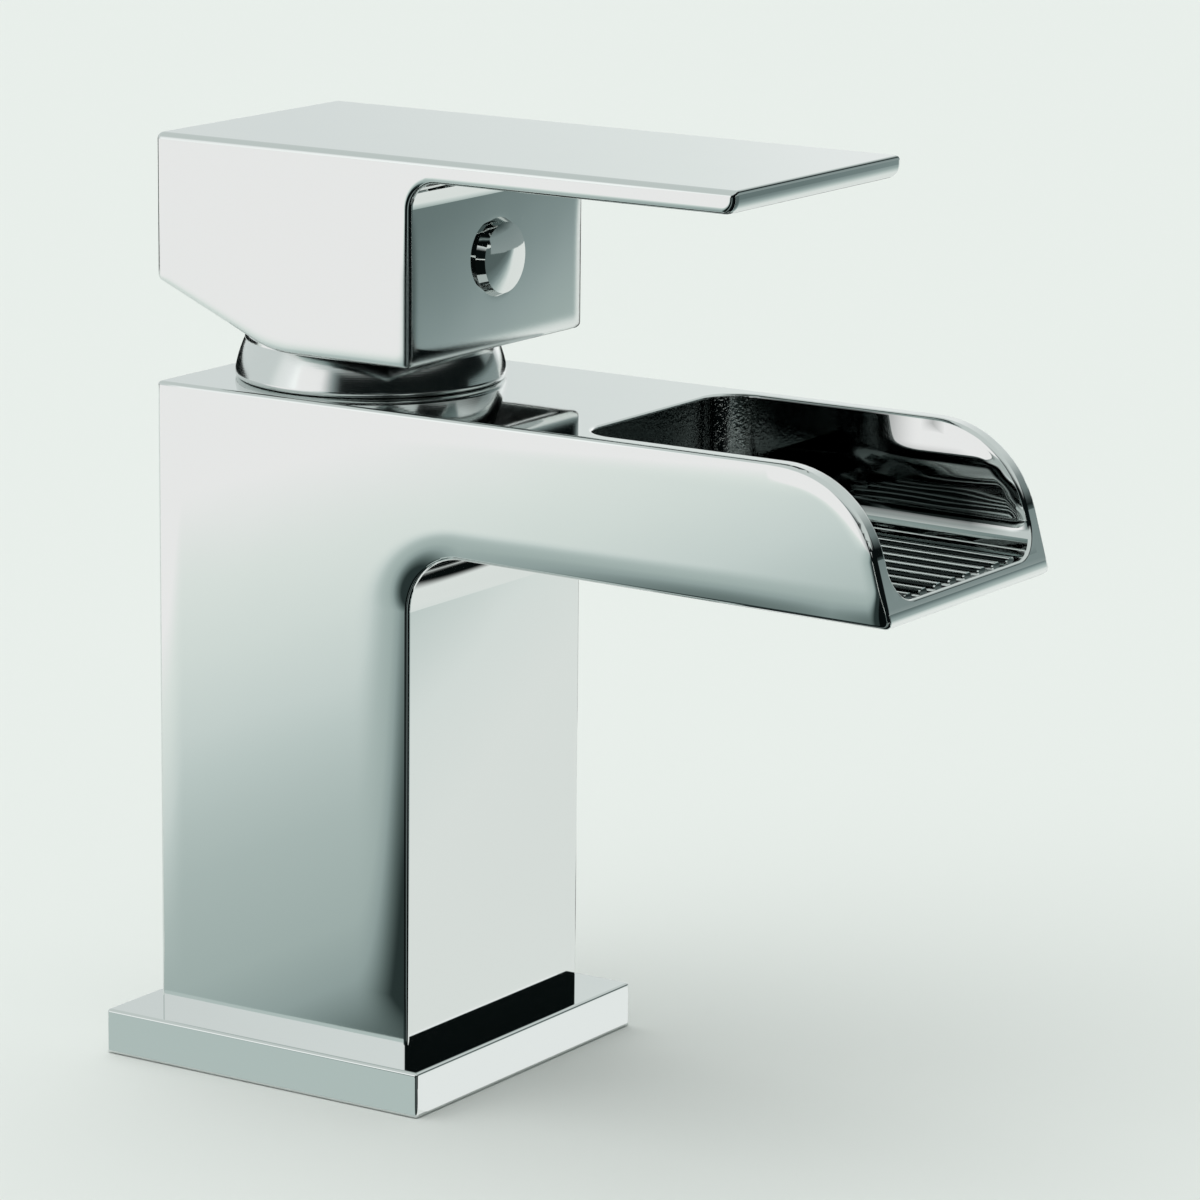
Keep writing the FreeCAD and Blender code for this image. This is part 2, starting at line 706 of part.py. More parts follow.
def dome_profile(inset, foot, top):
    """Arcs of the dome's section from its foot over the shoulder, and the hole's edge."""
    foot_radius = dome_foot_radius - inset
    shoulder_radius = foot_radius - DOME_TAPER
    shoulder = body_top + DOME_SHOULDER_HEIGHT - inset / 2
    crown_radius = shoulder_radius - DOME_SHOULDER_INSET
    middle = front_view((foot_radius + shoulder_radius) / 2 + DOME_BULGE, (foot + shoulder) / 2)
    wall = Part.Arc(front_view(foot_radius, foot), middle, front_view(shoulder_radius, shoulder)).toShape()
    crown = front_view(crown_radius, top)
    bend_x = crown_radius + DOME_SHOULDER_INSET * DOME_BEND_SHARE
    bend = front_view(bend_x, shoulder + (top - shoulder) * DOME_BEND_SHARE)
    return [wall, Part.Arc(front_view(shoulder_radius, shoulder), bend, crown).toShape()], crown


def dome_cover():
    """Thin turned cover that tapers up from the body's top face, straight inside round its ring."""
    bore = dome_foot_radius - DOME_WALL
    outer, outer_crown = dome_profile(0, body_top, dome_top)
    inner, inner_crown = dome_profile(DOME_WALL, dome_ring_top, dome_top - DOME_WALL)
    crown = [
        outer_crown,
        front_view(DOME_HOLE_RADIUS, dome_top),
        front_view(DOME_HOLE_RADIUS, dome_top - DOME_WALL),
        inner_crown,
    ]
    foot = [
        front_view(bore, dome_ring_top),
        front_view(bore, body_top),
        front_view(dome_foot_radius, body_top),
    ]
    links = Part.makePolygon(crown).Edges + Part.makePolygon(foot).Edges
    outline = Part.Wire(Part.__sortEdges__(outer + inner + links))
    cover = Part.Face(outline).revolve(Vector(0, 0, 0), Vector(0, 0, 1), 360)
    foot_edges = []
    for edge in cover.Edges:
        on_deck = edge.BoundBox.ZMax < body_top + FIT_GAP
        if on_deck and edge.BoundBox.XLength > 2 * dome_foot_radius - FIT_GAP:
            foot_edges.append(edge)
    return cover.makeFillet(DOME_FOOT_ROUNDING, foot_edges)


def dome_o_ring():
    """Ring round the gland nut that grips the dome cover."""
    return o_ring(nut_ring_radius + FIT_GAP, dome_ring_outer, body_top + DOME_RING_SECTION / 2 + FIT_GAP)


# Lever handle: square hub with the flat lever plate, hollow below, and its fixings
LEVER_EDGE_RADIUS = 1.0
LEVER_ROOT_RADIUS = 4.2
TIP_TOP_RADIUS = 0.6
TIP_FOOT_RADIUS = 2.2
HEEL_DEGREES = 23.0
HEEL_RISE = 9.0
HEEL_BLEND_RADIUS = 18.0
HUB_WALL = 2.8
HUB_INNER_RADIUS = 2.0
BOSS_WIDTH = 15.0
BOSS_LIFT = 7.8
WEB_WIDTH = 13.0
PLUG_BASE_RADIUS = 5.9
PLUG_FACE_RADIUS = 5.3
PLUG_RISE = 1.3
PLUG_DOME = 0.6
PLUG_SPIGOT_RADIUS = 4.3
PLUG_SPIGOT_LENGTH = 4.0
SCREW_RADIUS = 3.0
SCREW_LENGTH = 10.0
SCREW_KEY_WIDTH = 3.0
SCREW_KEY_DEPTH = 3.0
hub_inner = column_half - HUB_WALL
boss_half = BOSS_WIDTH / 2
boss_level = hub_level + BOSS_LIFT
plug_seat = -column_half + PLUG_SPIGOT_LENGTH + RUN_GAP
socket_half = spindle_half + FIT_GAP


def lever_form():
    """Outer form: hub and lever plate from one side view, every long edge rounded."""
    heel_start = column_half - HEEL_RISE / math.tan(math.radians(HEEL_DEGREES))
    heel_end = hub_level + HEEL_RISE
    outline = [
        (column_half, lever_top, 0),
        (-LEVER_REACH, lever_top, TIP_TOP_RADIUS),
        (-LEVER_REACH, lever_underside, TIP_FOOT_RADIUS),
        (-column_half, lever_underside, LEVER_ROOT_RADIUS),
        (-column_half, hub_level, 0),
        (heel_start, hub_level, HEEL_BLEND_RADIUS),
        (column_half, heel_end, 0),
    ]
    form = across(outline, column_half)
    sharp = [(column_half, lever_top), (-column_half, hub_level), (column_half, heel_end)]
    edges = edges_on_sides(form, column_half, 0) + edges_across_at(form, sharp)
    return form.makeFillet(LEVER_EDGE_RADIUS, edges)


def lever_handle():
    """Hub hollowed from below round a boss and web that hold the spindle and its screw."""
    roof = lever_underside
    hollow = rounded_block(hub_inner, -hub_inner, hub_inner, hub_level - OVERRUN, roof, HUB_INNER_RADIUS)
    boss = rounded_block(boss_half, -boss_half, boss_half, boss_level, roof, HUB_INNER_RADIUS)
    web = box(WEB_WIDTH, hub_inner, boss_level, roof, 0, -hub_inner / 2)
    hollow = hollow.cut([boss, web])
    cuts = [
        hollow,
        box(2 * socket_half, 2 * socket_half, boss_level - OVERRUN, spindle_top + RUN_GAP),
        bar_along_y(SCREW_RADIUS + FIT_GAP, plug_seat, 0, screw_level),
        bar_along_y(PLUG_SPIGOT_RADIUS + FIT_GAP, -column_half - OVERRUN, plug_seat, screw_level),
    ]
    return lever_form().cut(cuts)


def grub_screw():
    """Set screw with a hexagon socket, its point on the spindle."""
    point = -spindle_half
    screw = bar_along_y(SCREW_RADIUS, point - SCREW_LENGTH, point, screw_level)
    corner = SCREW_KEY_WIDTH / math.sqrt(3)
    hexagon = [math.radians(60 * index) for index in range(6)]
    key = [(corner * math.cos(turn), screw_level + corner * math.sin(turn), 0) for turn in hexagon]
    socket = extruded(key, front_view, Vector(0, SCREW_KEY_DEPTH + OVERRUN, 0))
    socket.translate(Vector(0, point - SCREW_LENGTH - OVERRUN, 0))
    return screw.cut(socket)


def screw_plug():
    """Domed plug pushed into the hub's front, its crown cut from a large ball."""
    seat = -column_half
    length = PLUG_RISE + PLUG_DOME
    taper = (PLUG_BASE_RADIUS - PLUG_FACE_RADIUS) * length / PLUG_RISE
    foot = Vector(0, seat, screw_level)
    head = Part.makeCone(PLUG_BASE_RADIUS, PLUG_BASE_RADIUS - taper, length, foot, Vector(0, -1, 0))
    ball_radius = (PLUG_FACE_RADIUS ** 2 + PLUG_DOME ** 2) / (2 * PLUG_DOME)
    ball = Part.makeSphere(ball_radius, Vector(0, seat - length + ball_radius, screw_level))
    spigot = bar_along_y(PLUG_SPIGOT_RADIUS, seat, seat + PLUG_SPIGOT_LENGTH, screw_level)
    return head.common(ball).fuse(spigot).removeSplitter()


PIECES = [
    tap_body,
    base_plate,
    base_gasket,
    spigot_o_ring,
    cartridge_base,
    inlet_seals,
    fixed_disc,
    moving_disc,
    disc_carrier,
    rotor,
    pivot_pin,
    glide_ring,
    spindle,
    cartridge_shell,
    shell_o_ring,
    gland_nut,
    dome_cover,
    dome_o_ring,
    lever_handle,
    grub_screw,
    screw_plug,
]

os.makedirs("parts", exist_ok=True)
for make_piece in PIECES:
    piece = make_piece()
    name = make_piece.__name__
    print(name, "valid", piece.isValid(), "solids", len(piece.Solids), "volume", round(piece.Volume))
    piece.exportStep("parts/" + name + ".step")
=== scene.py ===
"""Square single-lever basin mixer with an open waterfall spout, in polished chrome."""
import math

import bpy
from mathutils import Matrix, Vector

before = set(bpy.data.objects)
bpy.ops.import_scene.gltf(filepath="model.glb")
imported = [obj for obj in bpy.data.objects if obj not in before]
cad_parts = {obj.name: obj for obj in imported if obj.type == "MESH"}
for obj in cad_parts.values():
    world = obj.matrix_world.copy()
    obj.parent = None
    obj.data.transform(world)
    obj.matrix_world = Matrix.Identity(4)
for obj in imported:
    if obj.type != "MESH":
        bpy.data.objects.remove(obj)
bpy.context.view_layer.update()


# Base gasket: a flat ring let into the underside of the base plate, which seals it to the basin.
# Die-cut from EPDM rubber sheet and held by the plate's groove.
def linear(hex_code):
    """Linear colour with alpha from an sRGB hex code."""
    channels = [int(hex_code[start:start + 2], 16) / 255 for start in (1, 3, 5)]
    return [c / 12.92 if c <= 0.04045 else ((c + 0.055) / 1.055) ** 2.4 for c in channels] + [1]


def add(tree, kind, sockets, **settings):
    """Adds a shader node. Its inputs get values, or links from an output or from a node's first output."""
    node = tree.nodes.new("ShaderNode" + kind)
    for name, value in settings.items():
        setattr(node, name, value)
    for socket, value in sockets.items():
        if isinstance(value, bpy.types.Node):
            value = next(output for output in value.outputs if output.enabled)
        if isinstance(value, bpy.types.NodeSocket):
            tree.links.new(value, node.inputs[socket])
        else:
            node.inputs[socket].default_value = value
    return node


def new_finish(name):
    """Material for a finish, and its node tree, still empty."""
    material = bpy.data.materials.new(name)
    material.use_nodes = True
    material.node_tree.nodes.clear()
    return material, material.node_tree


def mottle(tree, place, grain, detail, shades, gloss, stretch=(1, 1, 1)):
    """Noise of a grain in metres, with the shade and the roughness that go with it from low to high."""
    drawn = add(tree, "Mapping", {"Vector": place, "Scale": stretch})
    noise = add(tree, "TexNoise", {"Vector": drawn, "Scale": 1 / grain, "Detail": detail})
    low, high = [linear(shade) for shade in shades]
    shade = add(tree, "Mix", {"Factor": noise, "A": low, "B": high}, data_type="RGBA")
    rough = add(tree, "MapRange", {"Value": noise, "To Min": gloss[0], "To Max": gloss[1]})
    return noise, shade, rough


def dress(node, material):
    """Gives a CAD node its finish."""
    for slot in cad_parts[node].material_slots:
        slot.material = material


# EPDM sheet: matt black with the fine grain of its rolls, a little greyer where talc stays on it
sheet_grain = 0.0004
sheet_relief = 0.00005
epdm_sheet, tree = new_finish("epdm_sheet_matt")
place = add(tree, "TexCoord", {}).outputs["Object"]
grain, shade, dull = mottle(tree, place, sheet_grain, 3.0, ("#141516", "#2A2B2C"), (0.62, 0.85))
bumps = add(tree, "Bump", {"Height": grain, "Strength": 0.4, "Distance": sheet_relief})
skin = add(tree, "BsdfPrincipled", {"Base Color": shade, "Roughness": dull, "Normal": bumps})
add(tree, "OutputMaterial", {"Surface": skin})
dress("base_gasket", epdm_sheet)


# Base plate: a square foot that hides the tap hole, 58 mm wide and 6.8 mm thick.
# Machined from brass plate, polished and chrome-plated, and slipped over the column's spigot.
def buffed(tree, place, normal):
    """Roughness and normal of a buffed face, with hair lines along the tap and faint waves."""
    stretch = add(tree, "Mapping", {"Vector": place, "Scale": (1.0, 0.06, 1.0)})
    lines = add(tree, "TexNoise", {"Vector": stretch, "Scale": 1 / buffing_line, "Detail": 2.0})
    gloss = add(tree, "MapRange", {"Value": lines, "To Min": 0.015, "To Max": 0.05})
    waves = add(tree, "TexNoise", {"Vector": place, "Scale": 1 / buffing_wave, "Detail": 1.0})
    swell = add(tree, "Bump", {
        "Height": waves,
        "Strength": 0.25,
        "Distance": buffing_relief,
        "Normal": normal,
    })
    return gloss, swell


# Chrome over a buffed face mirrors the room, bent a little by the waves
chrome_tone = linear("#DADEDD")
buffing_wave = 0.018
buffing_line = 0.0006
buffing_relief = 0.0001
polished_chrome, tree = new_finish("chrome_plate_polished")
place = add(tree, "TexCoord", {}).outputs["Object"]
shape = add(tree, "NewGeometry", {})
gloss, swell = buffed(tree, place, shape.outputs["Normal"])
skin = add(tree, "BsdfPrincipled", {
    "Base Color": chrome_tone,
    "Metallic": 1.0,
    "Roughness": gloss,
    "Normal": swell,
})
add(tree, "OutputMaterial", {"Surface": skin})
dress("base_plate", polished_chrome)

# Spigot ring: an O-ring in the groove of the column's spigot, which centres the plate.
# Moulded from nitrile rubber and stretched into its groove.
# Nitrile: black and half glossy from the mould, with a faint grey bloom in patches
bloom_patch = 0.003
mould_grain = 0.0003
mould_relief = 0.00003
nitrile, tree = new_finish("nitrile_rubber_moulded")
place = add(tree, "TexCoord", {}).outputs["Object"]
shade, dull = mottle(tree, place, bloom_patch, 4.0, ("#0E0F10", "#232526"), (0.35, 0.6))[1:]
grain = add(tree, "TexNoise", {"Vector": place, "Scale": 1 / mould_grain})
bumps = add(tree, "Bump", {"Height": grain, "Strength": 0.25, "Distance": mould_relief})
skin = add(tree, "BsdfPrincipled", {"Base Color": shade, "Roughness": dull, "IOR": 1.52, "Normal": bumps})
add(tree, "OutputMaterial", {"Surface": skin})
dress("spigot_o_ring", nitrile)


# Tap body: the square column and the open spout in one piece, with the cartridge's pocket and the inlets.
# Gravity-cast in brass, ground and buffed outside, chrome-plated, and bored and threaded after plating.
def wave_scale(pitch):
    """Scale of a wave texture whose bands repeat at a pitch in metres."""
    phase_rate = 20
    return 2 * math.pi / phase_rate / pitch


body_finish, tree = new_finish("chrome_plate_on_cast_brass")
place = add(tree, "TexCoord", {}).outputs["Object"]
axes = add(tree, "SeparateXYZ", {"Vector": place})
side = add(tree, "Math", {0: axes.outputs["X"]}, operation="ABSOLUTE")
shape = add(tree, "NewGeometry", {})
facing = add(tree, "SeparateXYZ", {"Vector": shape.outputs["Normal"]})

# Places: the bores, which are bare brass, and the trough with its steep walls
bore_limit = 0.0192
bore_dullness = 0.28
trough_half = 0.0204
trough_rear = -0.0500
trough_floor = 0.0864
wall_cosine = 0.3
floor_cosine = 0.6
flat = add(tree, "Mapping", {"Vector": place, "Scale": (1.0, 1.0, 0.0)})
radius = add(tree, "VectorMath", {0: flat}, operation="LENGTH")
bored = add(tree, "Math", {0: radius, 1: bore_limit}, operation="LESS_THAN")
between = add(tree, "Math", {0: side, 1: trough_half}, operation="LESS_THAN")
ahead = add(tree, "Math", {0: axes.outputs["Y"], 1: trough_rear}, operation="LESS_THAN")
above = add(tree, "Math", {0: axes.outputs["Z"], 1: trough_floor}, operation="GREATER_THAN")
within = add(tree, "Math", {0: between, 1: ahead}, operation="MULTIPLY")
trough = add(tree, "Math", {0: within, 1: above}, operation="MULTIPLY")
steep = add(tree, "MapRange", {
    "Value": facing.outputs["Z"],
    "From Min": wall_cosine,
    "From Max": floor_cosine,
    "To Min": 1.0,
    "To Max": 0.0,
})
steep_walls = add(tree, "Math", {0: trough, 1: steep}, operation="MULTIPLY")

# Worn edges: the wheel rounded the flanks' long edges, broadly on the column and narrowly under the spout
body_top = 0.1044
body_rear = 0.023
root_centre = Vector((0, -0.032, 0.0748))
root_radius = 0.009
column_wear = 0.010
spout_wear = 0.0048
spout_front = -0.095
spout_root = -0.026
wear_turn = math.tan(math.radians(15))
root_end_turn = math.tan(math.radians(27))
lip_end_turn = math.tan(math.radians(6))
profile = add(tree, "VectorMath", {0: place, 1: (0, 1, 1)}, operation="MULTIPLY")
from_root = add(tree, "VectorMath", {0: profile, 1: root_centre}, operation="SUBTRACT")
beyond = add(tree, "VectorMath", {0: from_root, 1: (0, 0, 0)}, operation="MAXIMUM")
span = add(tree, "VectorMath", {0: beyond}, operation="LENGTH")
away = add(tree, "VectorMath", {0: beyond}, operation="NORMALIZE")
away_axes = add(tree, "SeparateXYZ", {"Vector": away})
wear_end = add(tree, "MapRange", {
    "Value": away_axes.outputs["Z"],
    "To Min": root_radius + column_wear,
    "To Max": root_radius + spout_wear,
})
spout_turn = add(tree, "MapRange", {
    "Value": axes.outputs["Y"],
    "From Min": spout_front,
    "From Max": spout_root,
    "To Min": -lip_end_turn,
    "To Max": -root_end_turn,
})
edge_turn = add(tree, "Mix", {
    "Factor": away_axes.outputs["Z"],
    "A": -wear_turn,
    "B": spout_turn,
}, data_type="FLOAT")
corner_turn = add(tree, "MapRange", {
    "Value": span,
    "From Min": root_radius,
    "From Max": wear_end,
    "To Min": edge_turn,
    "To Max": 0.0,
}, interpolation_type="SMOOTHSTEP")
corner_tilt = add(tree, "VectorMath", {0: away, "Scale": corner_turn}, operation="SCALE")
rear_turn = add(tree, "MapRange", {
    "Value": axes.outputs["Y"],
    "From Min": body_rear - spout_wear,
    "From Max": body_rear,
    "To Max": wear_turn,
}, interpolation_type="SMOOTHSTEP")
top_turn = add(tree, "MapRange", {
    "Value": axes.outputs["Z"],
    "From Min": body_top - spout_wear,
    "From Max": body_top,
    "To Max": wear_turn / 8,
}, interpolation_type="SMOOTHSTEP")
edge_tilt = add(tree, "CombineXYZ", {"Y": rear_turn, "Z": top_turn})
straight_tilt = add(tree, "VectorMath", {0: corner_tilt, 1: edge_tilt})
outside = add(tree, "Math", {0: side, 1: trough_half}, operation="GREATER_THAN")
outer_tilt = add(tree, "VectorMath", {0: straight_tilt, "Scale": outside}, operation="SCALE")

# Lip: its worn edge follows the round outline, which leans back
lip_centre = Vector((0, -0.0861, 0.0879))
lip_radius = 0.0165
lip_wear = 0.0032
lip_lean = math.radians(16)
lip_normal = Vector((0, -math.cos(lip_lean), math.sin(lip_lean)))
lip_rise = Vector((0, math.sin(lip_lean), math.cos(lip_lean)))
lip_start = -0.084
lip_full = -0.088
from_lip = add(tree, "VectorMath", {0: profile, 1: lip_centre}, operation="SUBTRACT")
lead = add(tree, "VectorMath", {0: from_lip, 1: lip_normal}, operation="DOT_PRODUCT")
climb = add(tree, "VectorMath", {0: from_lip, 1: lip_rise}, operation="DOT_PRODUCT")
above_line = add(tree, "Math", {0: climb, 1: 0.0}, operation="MAXIMUM")
forward = add(tree, "VectorMath", {0: lip_normal, "Scale": lead}, operation="SCALE")
upward = add(tree, "VectorMath", {0: lip_rise, "Scale": above_line}, operation="SCALE")
outward = add(tree, "VectorMath", {0: forward, 1: upward})
lip_span = add(tree, "VectorMath", {0: outward}, operation="LENGTH")
lip_way = add(tree, "VectorMath", {0: outward}, operation="NORMALIZE")
lip_turn = add(tree, "MapRange", {
    "Value": lip_span,
    "From Min": lip_radius - lip_wear,
    "From Max": lip_radius,
    "To Max": wear_turn,
}, interpolation_type="SMOOTHSTEP")
at_lip = add(tree, "MapRange", {"Value": axes.outputs["Y"], "From Min": lip_start, "From Max": lip_full})
lip_worn = add(tree, "Math", {0: lip_turn, 1: at_lip}, operation="MULTIPLY")
lip_tilt = add(tree, "VectorMath", {0: lip_way, "Scale": lip_worn}, operation="SCALE")

# Crown: inside the lip the tops of the walls lean outwards, and are kept out of the painted shade on the
# walls
crown_foot = 0.0975
crown_head = 0.1005
crown_rear = -0.074
crown_front = -0.084
crown = add(tree, "MapRange", {
    "Value": axes.outputs["Z"],
    "From Min": crown_foot,
    "From Max": crown_head,
}, interpolation_type="SMOOTHSTEP")
crown_end = add(tree, "MapRange", {
    "Value": axes.outputs["Y"],
    "From Min": crown_rear,
    "From Max": crown_front,
}, interpolation_type="SMOOTHSTEP")
rim = add(tree, "MapRange", {
    "Value": lip_span,
    "From Min": lip_radius - 0.7 * lip_wear,
    "From Max": lip_radius - 0.3 * lip_wear,
    "To Max": -1.0,
})
off_rim = add(tree, "Math", {0: rim, 1: at_lip, 2: 1.0}, operation="MULTIPLY_ADD")
leaning = add(tree, "Math", {0: crown, 1: crown_end}, operation="MULTIPLY")
inner = add(tree, "Math", {0: between, 1: off_rim}, operation="MULTIPLY")
leaned = add(tree, "Math", {0: leaning, 1: inner}, operation="MULTIPLY")
inner_turn = add(tree, "Math", {0: leaned, 1: wear_turn}, operation="MULTIPLY")
inner_tilt = add(tree, "CombineXYZ", {"Z": inner_turn})

# Painted shade: the trough's steep walls and the valleys between its ribs are darkened, half as much in the
# rear corners, and not near the lip or on the crown
rear_start = -0.060
rear_full = -0.054
rear_shade_ease = 0.5
reach = add(tree, "MapRange", {
    "Value": lip_span,
    "From Min": lip_radius - 3 * lip_wear,
    "From Max": lip_radius - lip_wear,
})
lip_zone = add(tree, "Math", {0: reach, 1: at_lip}, operation="MULTIPLY")
lip_or_crown = add(tree, "Math", {0: lip_zone, 1: leaned}, operation="MAXIMUM")
off_lip_and_crown = add(tree, "Math", {0: 1.0, 1: lip_or_crown}, operation="SUBTRACT")
rear_end = add(tree, "MapRange", {"Value": axes.outputs["Y"], "From Min": rear_start, "From Max": rear_full})
rear_shade_fade = add(tree, "Math", {0: rear_end, 1: -rear_shade_ease, 2: 1.0}, operation="MULTIPLY_ADD")
wall_shade_share = add(tree, "Math", {0: steep_walls, 1: rear_shade_fade}, operation="MULTIPLY")
painted_wall_shade = add(tree, "Math", {0: wall_shade_share, 1: off_lip_and_crown}, operation="MULTIPLY")
# Painted shade: the chrome of the trough's walls is darkened
wall_shaded = add(tree, "Mix", {"Factor": painted_wall_shade, "A": chrome_tone, "B": linear("#545B5A")}, data_type="RGBA")

rib_pitch = 0.0042
rib_crest = 0.0007
ribs_half = 4 * rib_pitch
ribs_front = -0.1022
ribs_top = 0.0885
shifted = add(tree, "Math", {0: side, 1: rib_pitch / 2})
from_crest = add(tree, "Math", {0: shifted, 1: rib_pitch / 2}, operation="PINGPONG")
valley = add(tree, "MapRange", {
    "Value": from_crest,
    "From Min": 0.9 * rib_crest,
    "From Max": 1.1 * rib_crest,
})
upper = add(tree, "Math", {0: facing.outputs["Z"], 1: wall_cosine}, operation="GREATER_THAN")
deep = add(tree, "Math", {0: axes.outputs["Z"], 1: ribs_top}, operation="LESS_THAN")
behind = add(tree, "Math", {0: axes.outputs["Y"], 1: ribs_front}, operation="GREATER_THAN")
amid = add(tree, "Math", {0: side, 1: ribs_half}, operation="LESS_THAN")
low_field = add(tree, "Math", {0: deep, 1: behind}, operation="MULTIPLY")
low_floor = add(tree, "Math", {0: upper, 1: low_field}, operation="MULTIPLY")
rib_field = add(tree, "Math", {0: within, 1: amid}, operation="MULTIPLY")
rib_floor = add(tree, "Math", {0: low_floor, 1: rib_field}, operation="MULTIPLY")
# Painted shade: the valleys between the floor's ribs are darkened
rib_valley_shade = add(tree, "Math", {0: rib_floor, 1: valley}, operation="MULTIPLY")
valley_shaded = add(tree, "Mix", {"Factor": rib_valley_shade, "A": wall_shaded, "B": linear("#262B2B")}, data_type="RGBA")
metal_and_shade = add(tree, "Mix", {"Factor": bored, "A": valley_shaded, "B": linear("#C2A25E")}, data_type="RGBA")

# Buffed faces: the worn edges turn their normals, apart from the column's foot, and the lip's face droops
flank_cosine = 0.9
foot_start = 0.010
foot_full = 0.016
lip_face = -0.098
droop_top = 0.0856
droop_foot = 0.0832
sideways = add(tree, "Math", {0: facing.outputs["X"]}, operation="ABSOLUTE")
flank = add(tree, "Math", {0: sideways, 1: flank_cosine}, operation="GREATER_THAN")
raised = add(tree, "MapRange", {"Value": axes.outputs["Z"], "From Min": foot_start, "From Max": foot_full})
rounded_flank = add(tree, "Math", {0: flank, 1: raised}, operation="MULTIPLY")
wall_tilt = add(tree, "VectorMath", {0: lip_tilt, 1: inner_tilt})
whole_tilt = add(tree, "VectorMath", {0: outer_tilt, 1: wall_tilt})
wear = add(tree, "VectorMath", {0: whole_tilt, "Scale": rounded_flank}, operation="SCALE")
front = add(tree, "Math", {0: facing.outputs["Y"], 1: -flank_cosine}, operation="LESS_THAN")
foremost = add(tree, "Math", {0: axes.outputs["Y"], 1: lip_face}, operation="LESS_THAN")
on_lip_face = add(tree, "Math", {0: front, 1: foremost}, operation="MULTIPLY")
droop = add(tree, "MapRange", {
    "Value": axes.outputs["Z"],
    "From Min": droop_top,
    "From Max": droop_foot,
    "To Max": -2 * wear_turn,
})
drooped = add(tree, "Math", {0: on_lip_face, 1: droop}, operation="MULTIPLY")
lip_face_tilt = add(tree, "CombineXYZ", {"Z": drooped})
all_wear = add(tree, "VectorMath", {0: wear, 1: lip_face_tilt})
turned = add(tree, "VectorMath", {0: shape.outputs["Normal"], 1: all_wear})
roll_off = add(tree, "VectorMath", {0: turned}, operation="NORMALIZE")
gloss, swell = buffed(tree, place, roll_off)
rough = add(tree, "Math", {0: bored, 1: bore_dullness, 2: gloss}, operation="MULTIPLY_ADD")

# Relief: the trough's walls are wavy near the lip and grainy from the core in the rear corners,
# the ribs' floor is rounded, and rings of the cutting tool run round the bores
hand_wave = 0.005
hand_relief = 0.0002
ripple_start = -0.072
ripple_full = -0.090
core_grain = 0.0005
core_relief = 0.00006
level_cosine = 0.85
rib_relief = 0.00005
tool_mark = 0.0004
tool_relief = 0.00004
run = add(tree, "Mapping", {"Vector": place, "Scale": (1.0, 0.15, 1.0)})
ripples = add(tree, "TexNoise", {"Vector": run, "Scale": 1 / hand_wave, "Detail": 0.5})
lip_end = add(tree, "MapRange", {
    "Value": axes.outputs["Y"],
    "From Min": ripple_start,
    "From Max": ripple_full,
})
wavy = add(tree, "Math", {0: steep_walls, 1: lip_end}, operation="MULTIPLY")
rippled = add(tree, "Bump", {"Height": ripples, "Strength": wavy, "Distance": hand_relief, "Normal": swell})
grains = add(tree, "TexNoise", {"Vector": place, "Scale": 1 / core_grain, "Detail": 2.0})
grainy = add(tree, "Math", {0: steep_walls, 1: rear_end}, operation="MULTIPLY")
cored = add(tree, "Bump", {"Height": grains, "Strength": grainy, "Distance": core_relief, "Normal": rippled})
level = add(tree, "Math", {0: facing.outputs["Z"], 1: level_cosine}, operation="GREATER_THAN")
flat_floor = add(tree, "Math", {0: level, 1: deep}, operation="MULTIPLY")
ribbed = add(tree, "Math", {0: flat_floor, 1: within}, operation="MULTIPLY")
crests = add(tree, "TexWave", {
    "Vector": place,
    "Scale": wave_scale(rib_pitch),
}, wave_type="BANDS", bands_direction="X", wave_profile="SIN")
rounded = add(tree, "Bump", {
    "Height": crests.outputs["Fac"],
    "Strength": ribbed,
    "Distance": rib_relief,
    "Normal": cored,
})
turning = add(tree, "TexWave", {
    "Vector": place,
    "Scale": wave_scale(tool_mark),
    "Distortion": 0.4,
}, wave_type="BANDS", bands_direction="Z")
machined = add(tree, "Bump", {
    "Height": turning.outputs["Fac"],
    "Strength": bored,
    "Distance": tool_relief,
    "Normal": rounded,
})
skin = add(tree, "BsdfPrincipled", {
    "Base Color": metal_and_shade,
    "Metallic": 1.0,
    "Roughness": rough,
    "Normal": machined,
})
add(tree, "OutputMaterial", {"Surface": skin})
dress("tap_body", body_finish)

# Cartridge base: the distributor at the bottom of the pocket, on two pegs, with windows for the mixed water.
# Injection-moulded in glass-filled nylon; the discs' carrier and the rotor are of the same kind.
# Glass-filled nylon: grey and slightly streaky, with pale fibre ends and a dull moulded skin
fibre_width = 0.00025
moulding_grain = 0.0006
moulding_relief = 0.00005
glass_nylon, tree = new_finish("glass_filled_nylon_moulded")
place = add(tree, "TexCoord", {}).outputs["Object"]
drawn = add(tree, "Mapping", {"Vector": place, "Scale": (1.0, 1.0, 0.15)})
fibres = add(tree, "TexNoise", {"Vector": drawn, "Scale": 1 / fibre_width, "Detail": 2.0})
shade = add(tree, "Mix", {"Factor": fibres, "A": linear("#45494C"), "B": linear("#6A6E70")}, data_type="RGBA")
grain = add(tree, "TexNoise", {"Vector": place, "Scale": 1 / moulding_grain, "Detail": 2.0})
dull = add(tree, "MapRange", {"Value": grain, "To Min": 0.38, "To Max": 0.58})
bumps = add(tree, "Bump", {"Height": grain, "Strength": 0.3, "Distance": moulding_relief})
skin = add(tree, "BsdfPrincipled", {"Base Color": shade, "Roughness": dull, "IOR": 1.53, "Normal": bumps})
add(tree, "OutputMaterial", {"Surface": skin})
dress("cartridge_base", glass_nylon)

# Inlet seals: hot and cold sleeves between the body's seat and the fixed disc.
# Moulded from nitrile rubber and pushed into the cartridge base from below.
dress("inlet_seals", nitrile)

